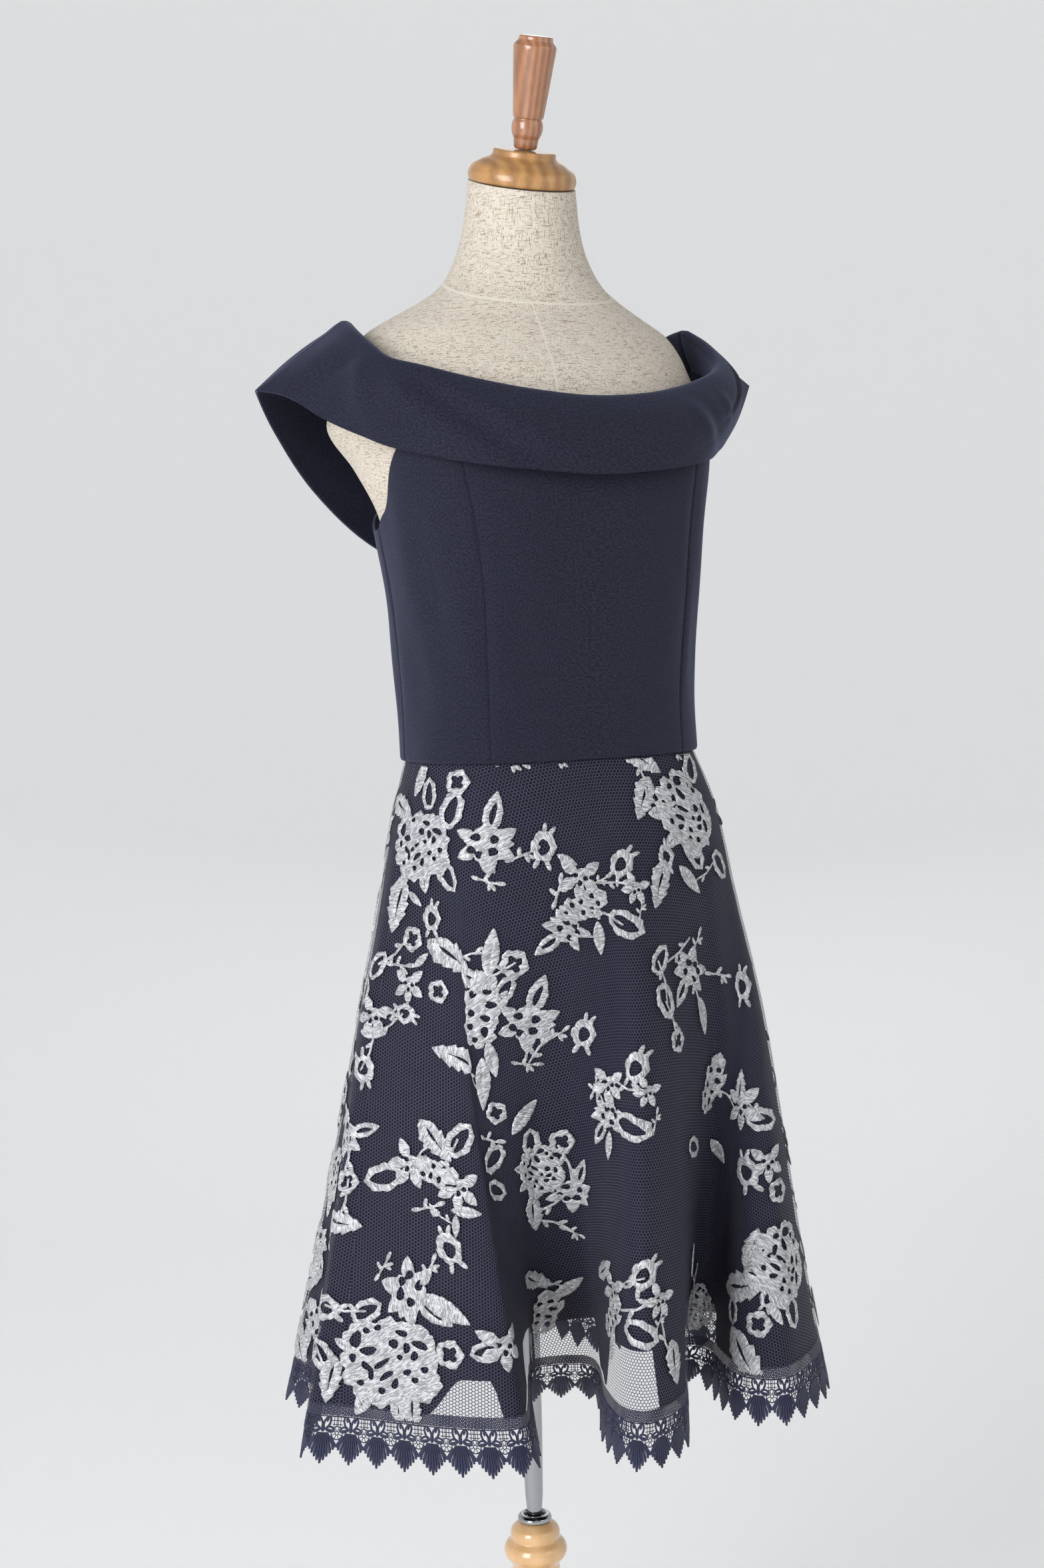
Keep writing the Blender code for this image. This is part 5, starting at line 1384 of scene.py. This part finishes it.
# %% Repeat the lace with Geometry Nodes
def repeat_tree():
    """Repeat the incoming mesh along X, then realize it and give it its material."""
    tree = bpy.data.node_groups.new("lace repeats", "GeometryNodeTree")
    for label, kind in (("Geometry", "NodeSocketGeometry"), ("Repeats", "NodeSocketInt"),
                        ("Pitch", "NodeSocketFloat"), ("Material", "NodeSocketMaterial")):
        tree.interface.new_socket(name=label, in_out="INPUT", socket_type=kind)
    tree.interface.new_socket(name="Geometry", in_out="OUTPUT", socket_type="NodeSocketGeometry")
    given, result = tree.nodes.new("NodeGroupInput"), tree.nodes.new("NodeGroupOutput")
    offset = tree.nodes.new("ShaderNodeCombineXYZ")
    line = tree.nodes.new("GeometryNodeMeshLine")
    line.mode = "OFFSET"
    spread = tree.nodes.new("GeometryNodeInstanceOnPoints")
    real = tree.nodes.new("GeometryNodeRealizeInstances")
    finish = tree.nodes.new("GeometryNodeSetMaterial")
    link = tree.links.new
    link(given.outputs["Pitch"], offset.inputs["X"])
    link(given.outputs["Repeats"], line.inputs["Count"])
    link(offset.outputs[0], line.inputs["Offset"])
    link(line.outputs["Mesh"], spread.inputs["Points"])
    link(given.outputs["Geometry"], spread.inputs["Instance"])
    link(spread.outputs["Instances"], real.inputs["Geometry"])
    link(real.outputs["Geometry"], finish.inputs["Geometry"])
    link(given.outputs["Material"], finish.inputs["Material"])
    link(finish.outputs["Geometry"], result.inputs["Geometry"])
    return tree


REPEAT_TREE = repeat_tree()


def with_inputs(modifier, **values):
    """Set a Geometry Nodes modifier's inputs by their sockets' identifiers."""
    for item in modifier.node_group.interface.items_tree:
        if item.item_type == "SOCKET" and item.in_out == "INPUT" and item.name in values:
            modifier[item.identifier] = values[item.name]


def made_plain(holder, name):
    """The evaluated mesh of a holder, as a new plain object; the holder is removed."""
    bpy.context.view_layer.update()
    graph = bpy.context.evaluated_depsgraph_get()
    mesh = bpy.data.meshes.new_from_object(holder.evaluated_get(graph))
    mesh.name = name
    made = bpy.data.objects.new(name, mesh)
    bpy.context.scene.collection.objects.link(made)
    bpy.data.objects.remove(holder, do_unlink=True)
    return made


def make_lace(name, first):
    holder = flat_lace_repeat()
    modifier = holder.modifiers.new("repeats", "NODES")
    modifier.node_group = REPEAT_TREE
    with_inputs(modifier, Repeats=LACE_REPEATS_PER_HALF, Pitch=LACE_PITCH * MM, Material=NAVY_CORD)
    made = made_plain(holder, name + "_cords")
    mesh = made.data
    flat = np.empty(len(mesh.vertices) * 3, dtype=np.float32)
    mesh.vertices.foreach_get("co", flat)
    flat = flat.reshape(-1, 3).astype(float) / MM
    share = first + (flat[:, 0] + LACE_PITCH / 2) / HEM_LENGTH
    depth = NET_HEM + (flat[:, 1] + 0.3) / SKIRT_DROP
    placed = skirt_point(share, depth) + skirt_inwards(share, depth) * (1.0 - flat[:, 2])[:, None]
    mesh.vertices.foreach_set("co", (placed * MM).astype(np.float32).ravel())
    mesh.update()
    mesh.shade_smooth()
    shape = bmesh.new()
    shape.from_mesh(mesh)
    bmesh.ops.recalc_face_normals(shape, faces=shape.faces[:])
    shape.to_mesh(mesh)
    shape.free()
    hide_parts(name)
    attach(made, "root")
    print(name, len(mesh.polygons), "faces")


make_lace("lace_trim_front", 0.25)
make_lace("lace_trim_back", 0.75)

# %% [markdown]
# ## Topstitching
#
# A row of sewing-machine stitches holds the collar's free edge. Geometry Nodes spaces one
# small stitch along a guide line that lies on the cloth.

# %% Stitches along a guide
STITCH_LENGTH, STITCH_PITCH, STITCH_WIDTH = 2.4, 3.2, 0.5


def stitch_tree():
    tree = bpy.data.node_groups.new("row of stitches", "GeometryNodeTree")
    for label, kind in (("Geometry", "NodeSocketGeometry"), ("Pitch", "NodeSocketFloat"),
                        ("Stitch length", "NodeSocketFloat"), ("Thread width", "NodeSocketFloat"),
                        ("Material", "NodeSocketMaterial")):
        tree.interface.new_socket(name=label, in_out="INPUT", socket_type=kind)
    tree.interface.new_socket(name="Geometry", in_out="OUTPUT", socket_type="NodeSocketGeometry")
    given, result = tree.nodes.new("NodeGroupInput"), tree.nodes.new("NodeGroupOutput")
    curve = tree.nodes.new("GeometryNodeMeshToCurve")
    spaced = tree.nodes.new("GeometryNodeCurveToPoints")
    spaced.mode = "LENGTH"
    thread = tree.nodes.new("GeometryNodeMeshUVSphere")
    thread.inputs["Segments"].default_value = 6
    thread.inputs["Rings"].default_value = 4
    thread.inputs["Radius"].default_value = 0.5
    size = tree.nodes.new("ShaderNodeCombineXYZ")
    spread = tree.nodes.new("GeometryNodeInstanceOnPoints")
    real = tree.nodes.new("GeometryNodeRealizeInstances")
    finish = tree.nodes.new("GeometryNodeSetMaterial")
    link = tree.links.new
    link(given.outputs["Geometry"], curve.inputs["Mesh"])
    link(curve.outputs["Curve"], spaced.inputs["Curve"])
    link(given.outputs["Pitch"], spaced.inputs["Length"])
    link(spaced.outputs["Points"], spread.inputs["Points"])
    link(spaced.outputs["Rotation"], spread.inputs["Rotation"])
    link(thread.outputs["Mesh"], spread.inputs["Instance"])
    link(given.outputs["Thread width"], size.inputs["X"])
    link(given.outputs["Thread width"], size.inputs["Y"])
    link(given.outputs["Stitch length"], size.inputs["Z"])
    link(size.outputs[0], spread.inputs["Scale"])
    link(spread.outputs["Instances"], real.inputs["Geometry"])
    link(real.outputs["Geometry"], finish.inputs["Geometry"])
    link(given.outputs["Material"], finish.inputs["Material"])
    link(finish.outputs["Geometry"], result.inputs["Geometry"])
    return tree


STITCH_TREE = stitch_tree()


def stitch_row(name, path):
    """Stitches along a path of points in millimetres."""
    mesh = bpy.data.meshes.new(name)
    mesh.from_pydata((path * MM).tolist(), [(index, index + 1) for index in range(len(path) - 1)], [])
    holder = bpy.data.objects.new(name + " guide", mesh)
    bpy.context.scene.collection.objects.link(holder)
    modifier = holder.modifiers.new("stitches", "NODES")
    modifier.node_group = STITCH_TREE
    with_inputs(modifier, Pitch=STITCH_PITCH * MM, Material=STITCH_THREAD,
                **{"Stitch length": STITCH_LENGTH * MM, "Thread width": STITCH_WIDTH * MM})
    made = made_plain(holder, name)
    made.data.shade_smooth()
    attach(made, "root")
    print(name, len(made.data.polygons), "faces")


stitch_row("collar_topstitch_front", collar_front_face[-3, 2:-2])
stitch_row("collar_topstitch_back", collar_back_face[-3, 2:-2])

# %% [markdown]
# ## The form
#
# The form is a padded body covered with natural linen: a loose weave with thick and thin yarns
# that show as darker flecks both ways. Its covering is seamed round the neck and down the front.
# The body is one stack of ovals, with the neck's last ring tilted forwards under the cap.

# %% Linen
NECK_SEAM_HEIGHT, NECK_SEAM_SLOPE, FRONT_SEAM_X = 1419.0, 0.35, -19.0


def linen_seams(tree, place):
    """1 on the seam round the neck's base and on the one down the chest."""
    parts = wired(tree, "ShaderNodeSeparateXYZ", Vector=place)
    slope = maths(tree, "MULTIPLY_ADD", parts.outputs["Y"], -NECK_SEAM_SLOPE, parts.outputs["Z"])
    neck_off = maths(tree, "ABSOLUTE", maths(tree, "SUBTRACT", slope, NECK_SEAM_HEIGHT * MM))
    round_neck = maths(tree, "LESS_THAN", neck_off, 0.0008)
    front_off = maths(tree, "ABSOLUTE", maths(tree, "SUBTRACT", parts.outputs["X"], FRONT_SEAM_X * MM))
    below = maths(tree, "LESS_THAN", slope, NECK_SEAM_HEIGHT * MM)
    down_front = maths(tree, "MULTIPLY", maths(tree, "LESS_THAN", front_off, 0.0007), below)
    return maths(tree, "MAXIMUM", round_neck, down_front)


def linen_look():
    made, tree, shader = start_look("natural linen", 0.9, Sheen_Weight=0.15, Specular_IOR_Level=0.2)
    place = wired(tree, "ShaderNodeTexCoord").outputs["Object"]
    mottle = grouped(tree, SOFT_MOTTLE, Vector=place, Scale=14.0, Amount=0.05)
    value = 0.0
    for stretch, seed in (((170.0, 170.0, 1500.0), 0.0), ((1300.0, 1300.0, 190.0), 7.0)):
        moved = vector_maths(tree, "MULTIPLY", vector_maths(tree, "ADD", place, (seed, seed, seed)), stretch)
        yarn = wired(tree, "ShaderNodeTexNoise", Vector=moved, Scale=2.2, Detail=1.0)
        slub = wired(tree, "ShaderNodeTexNoise", Vector=moved, Scale=1.0, Detail=2.0)
        fleck = wired(tree, "ShaderNodeMapRange", Value=slub.outputs["Fac"], From_Min=0.55, From_Max=0.70,
                      To_Min=0.0, To_Max=0.75).outputs[0]
        value = maths(tree, "ADD", maths(tree, "MULTIPLY_ADD", yarn.outputs["Fac"], 0.38, fleck), value)
    shade = maths(tree, "MULTIPLY", maths(tree, "SUBTRACT", value, 0.26, clamp=True), mottle.outputs[0],
                  clamp=True)
    seam = linen_seams(tree, place)
    coloured(tree, shader, maths(tree, "MULTIPLY", shade, maths(tree, "SUBTRACT", 1.0, seam), clamp=True),
             (0.71, 0.645, 0.555), (0.30, 0.22, 0.15))
    value = maths(tree, "SUBTRACT", value, maths(tree, "MULTIPLY", seam, 3.0))
    bumped(tree, shader, value, 0.0004, 0.6)
    return made


LINEN = linen_look()

# %% Form body
FORM_SECTIONS = [
    # height, half_width, front_depth, back_depth, centre_y, squareness, tilt
    (828.0, 70.0, 60.0, 50.0, -50.0, 2.2, 0.0),
    (832.0, 104.0, 78.0, 64.0, -54.0, 2.3, 0.0),
    (855.0, 122.0, 88.0, 72.0, -58.0, 2.4, 0.0),
    (910.0, 130.0, 90.0, 80.0, -64.0, 2.4, 0.0),
    (1025.0, 108.0, 72.0, 70.0, -77.0, 2.4, 0.0),
    (1110.0, 115.0, 84.0, 80.0, -76.0, 2.4, 0.0),
    (1180.0, 125.0, 94.0, 90.0, -73.0, 2.5, 0.0),
    (1220.0, 131.0, 113.6, 82.0, -57.0, 2.3, 0.0),
    (1255.0, 144.0, 118.0, 82.0, -40.0, 2.2, 0.0),
    (1290.0, 166.0, 118.0, 84.0, -38.0, 2.2, 0.0),
    (1325.0, 147.0, 104.0, 80.0, -42.0, 2.2, 0.0),
    (1345.0, 143.0, 96.0, 74.0, -38.0, 2.1, 0.0),
    (1362.0, 133.0, 86.0, 66.0, -37.0, 2.0, 0.0),
    (1374.0, 114.0, 76.0, 58.0, -38.0, 2.0, 0.0),
    (1388.0, 88.0, 64.0, 50.0, -44.0, 2.0, 0.0),
    (1402.0, 69.0, 56.0, 50.0, -50.0, 2.0, 3.0),
    (1425.0, 55.0, 50.0, 50.0, -52.0, 2.0, 6.0),
    (1450.0, 47.5, 48.0, 48.0, -54.0, 2.0, 11.0),
    (1483.5, 43.5, 45.0, 45.0, -57.0, 2.0, 18.0),
]


def make_form():
    heights = np.unique(np.concatenate([np.linspace(828.0, 832.0, 5), np.linspace(832.0, 1483.5, 190)]))
    turns = np.linspace(0.0, 2 * pi, 129)
    turn, height = np.meshgrid(turns, heights[::-1])
    half_width, front, back, centre_y, squareness, tilt = smooth_between(FORM_SECTIONS, height)
    x, y = oval(turn, half_width, front, back, centre_y, squareness)
    z = height + (y - centre_y) * np.tan(np.radians(tilt))
    points = np.stack([x, y, z], -1)
    body = points[:, :-1].reshape(-1, 3)
    rows, columns = points.shape[0], points.shape[1] - 1
    quads = []
    for row in range(rows - 1):
        ring = np.arange(columns)
        after = (ring + 1) % columns
        quads.append(np.stack([row * columns + ring, (row + 1) * columns + ring,
                               (row + 1) * columns + after, row * columns + after], -1))
    quads = np.concatenate(quads).tolist()
    quads.append(list(range(columns)))
    quads.append(list(range((rows - 1) * columns, rows * columns))[::-1])
    made = make_object("form_body", body, quads, None, LINEN)
    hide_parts("form_torso")
    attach(made, "root")


make_form()

# %% [markdown]
# ## Turned wood and metal
#
# The cap, finial and post are turned, so each is one profile spun round its axis. The corners of
# a profile are cut twice, which gives the small rounding that a varnished edge has. The oak cap
# shows growth rings, the finial a straight red-brown grain, the post a pale fine grain.

# %% Wood and chrome
def wood_look(name, dark, light, ring_scale, grain_stretch, roughness, coat, distortion=3.0):
    made, tree, shader = start_look(name, roughness, Coat_Weight=coat, Coat_Roughness=0.12)
    place = wired(tree, "ShaderNodeTexCoord").outputs["Object"]
    stretched = vector_maths(tree, "MULTIPLY", place, grain_stretch)
    rings = wired(tree, "ShaderNodeTexWave", {"wave_type": "BANDS", "bands_direction": "X"}, Vector=stretched,
                  Scale=ring_scale, Distortion=distortion, Detail=3.0)
    fibre = wired(tree, "ShaderNodeTexNoise", Vector=vector_maths(tree, "MULTIPLY", stretched, (6.0, 6.0, 1.0)),
                  Scale=60.0, Detail=4.0)
    mottle = grouped(tree, SOFT_MOTTLE, Vector=place, Scale=30.0, Amount=0.12)
    value = maths(tree, "MULTIPLY_ADD", rings.outputs["Fac"], 0.45, maths(tree, "MULTIPLY", fibre.outputs["Fac"], 0.6))
    coloured(tree, shader, maths(tree, "MULTIPLY", value, mottle.outputs[0], clamp=True), dark, light)
    bumped(tree, shader, fibre.outputs["Fac"], 0.0002, 0.3)
    return made


def chrome_look():
    made, tree, shader = start_look("chromed tube", 0.12, 1.0)
    place = wired(tree, "ShaderNodeTexCoord").outputs["Object"]
    mottle = grouped(tree, SOFT_MOTTLE, Vector=place, Scale=60.0, Amount=0.1)
    coloured(tree, shader, maths(tree, "MULTIPLY", mottle.outputs[0], 0.5), (0.22, 0.225, 0.24), (0.55, 0.56, 0.58))
    smear = wired(tree, "ShaderNodeTexNoise", Vector=place, Scale=90.0, Detail=3.0)
    tree.links.new(wired(tree, "ShaderNodeMapRange", Value=smear.outputs["Fac"], To_Min=0.08, To_Max=0.2).outputs[0],
                   shader.inputs["Roughness"])
    return made


OAK = wood_look("oak cap", (0.24, 0.105, 0.030), (0.56, 0.30, 0.105), 26.0, (1.0, 0.35, 2.2), 0.35, 0.5)
RED_BROWN = wood_look("red-brown finial", (0.20, 0.075, 0.032), (0.46, 0.215, 0.11), 60.0, (1.0, 1.0, 0.10), 0.28, 0.8, 1.0)
BEECH = wood_look("beech stand", (0.62, 0.35, 0.15), (0.82, 0.53, 0.27), 14.0, (1.0, 1.0, 0.12), 0.25, 0.8, 2.5)
CHROME = chrome_look()

# %% Turned pieces
POLE_RADIUS, POLE_BOTTOM, FORM_BOTTOM = 9.5, 340.0, 828.0
CAP_CENTRE, CAP_TILT = (0.0, -57.0, 1484.0), 18.0
CAP_PROFILE = [
    (0.0, 27.0), (24.5, 27.0), (26.0, 26.0), (26.0, 22.5), (28.0, 20.5), (33.5, 18.5),
    (36.5, 16.5), (42.0, 13.5), (44.6, 8.5), (45.0, 4.5), (44.0, 0.8), (42.0, 0.3), (0.0, 0.3),
]
FINIAL_PROFILE = [
    (0.0, 88.5), (13.0, 88.5), (14.0, 87.5), (14.0, 85.0), (17.4, 81.5), (17.8, 79.5),
    (17.5, 76.0), (12.9, 26.0), (12.2, 25.0), (11.2, 24.4), (12.6, 22.0),
    (13.2, 17.5), (12.4, 12.5), (10.8, 9.6), (10.4, 8.6), (9.4, 0.3), (0.0, 0.3),
]
POST_PROFILE = [
    (0.0, 339.5), (9.0, 339.5), (15.0, 338.5), (20.5, 334.0), (22.0, 329.0), (21.0, 324.5),
    (22.5, 323.0), (26.0, 320.0), (28.0, 314.5), (26.5, 308.5), (22.0, 304.0), (20.5, 299.0),
    (20.5, 92.0), (23.0, 86.0), (27.0, 80.0), (28.0, 74.0), (25.5, 68.0), (22.0, 64.0),
    (23.0, 50.0), (30.0, 34.0), (38.0, 27.5), (42.0, 25.3), (0.0, 25.3),
]
BASE_PROFILE = [
    (0.0, 25.0), (140.0, 25.0), (148.0, 23.0), (153.0, 18.0), (155.0, 12.0), (155.0, 4.0),
    (152.0, 0.0), (0.0, 0.0),
]
FERRULE_PROFILE = [
    (POLE_RADIUS + SEAM_GAP, 346.0), (12.5, 345.6), (14.5, 344.0), (15.0, 342.0), (14.5, 339.8),
    (POLE_RADIUS + SEAM_GAP, 339.8), (POLE_RADIUS + SEAM_GAP, 346.0),
]
POLE_PROFILE = [
    (0.0, FORM_BOTTOM - SEAM_GAP), (POLE_RADIUS - 0.5, FORM_BOTTOM - SEAM_GAP),
    (POLE_RADIUS, FORM_BOTTOM - SEAM_GAP - 0.5), (POLE_RADIUS, POLE_BOTTOM), (0.0, POLE_BOTTOM),
]


def corners_cut(profile, share=0.22, times=2):
    """Cut each corner of a profile, so that edges come out rounded; its two ends stay."""
    line = np.array(profile, float)
    for _ in range(times):
        low, high = line[:-1], line[1:]
        cut = np.stack([low + (high - low) * share, high - (high - low) * share], 1).reshape(-1, 2)
        line = np.vstack([line[:1], cut[1:-1], line[-1:]])
    return line


def turned_piece(name, profile, look, place=(0.0, 0.0, 0.0), tilt=0.0, steps=96):
    line = corners_cut(profile)
    line[:, 0] = np.maximum(line[:, 0], 0.0)
    turns = np.linspace(0.0, 2 * pi, steps, endpoint=False)
    points = np.stack([line[:, :1] * np.cos(turns), line[:, :1] * np.sin(turns),
                       np.broadcast_to(line[:, 1:], (len(line), steps))], -1).reshape(-1, 3)
    ring = np.arange(steps)
    quads = np.concatenate([
        np.stack([row * steps + ring, (row + 1) * steps + ring, (row + 1) * steps + (ring + 1) % steps,
                  row * steps + (ring + 1) % steps], -1) for row in range(len(line) - 1)])
    points = points @ np.array(Matrix.Rotation(radians(tilt), 3, "X")).T + np.array(place)
    made = make_object(name + "_turned", points, quads, None, look, 50.0)
    shape = bmesh.new()
    shape.from_mesh(made.data)
    bmesh.ops.remove_doubles(shape, verts=shape.verts[:], dist=1e-6)
    bmesh.ops.dissolve_degenerate(shape, edges=shape.edges[:], dist=1e-7)
    bmesh.ops.recalc_face_normals(shape, faces=shape.faces[:])
    shape.to_mesh(made.data)
    shape.free()
    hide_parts(name)
    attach(made, "root")
    return made


cap_axis = np.array(Matrix.Rotation(radians(CAP_TILT), 3, "X") @ Vector((0.0, 0.0, 27.0)))
turned_piece("neck_cap", CAP_PROFILE, OAK, CAP_CENTRE, CAP_TILT)
turned_piece("finial", FINIAL_PROFILE, RED_BROWN, np.array(CAP_CENTRE) + cap_axis, CAP_TILT)
turned_piece("pole", POLE_PROFILE, CHROME, steps=64)
turned_piece("pole_ferrule", FERRULE_PROFILE, CHROME, steps=64)
turned_piece("stand_post", POST_PROFILE, BEECH)
turned_piece("stand_base", BASE_PROFILE, BEECH, steps=128)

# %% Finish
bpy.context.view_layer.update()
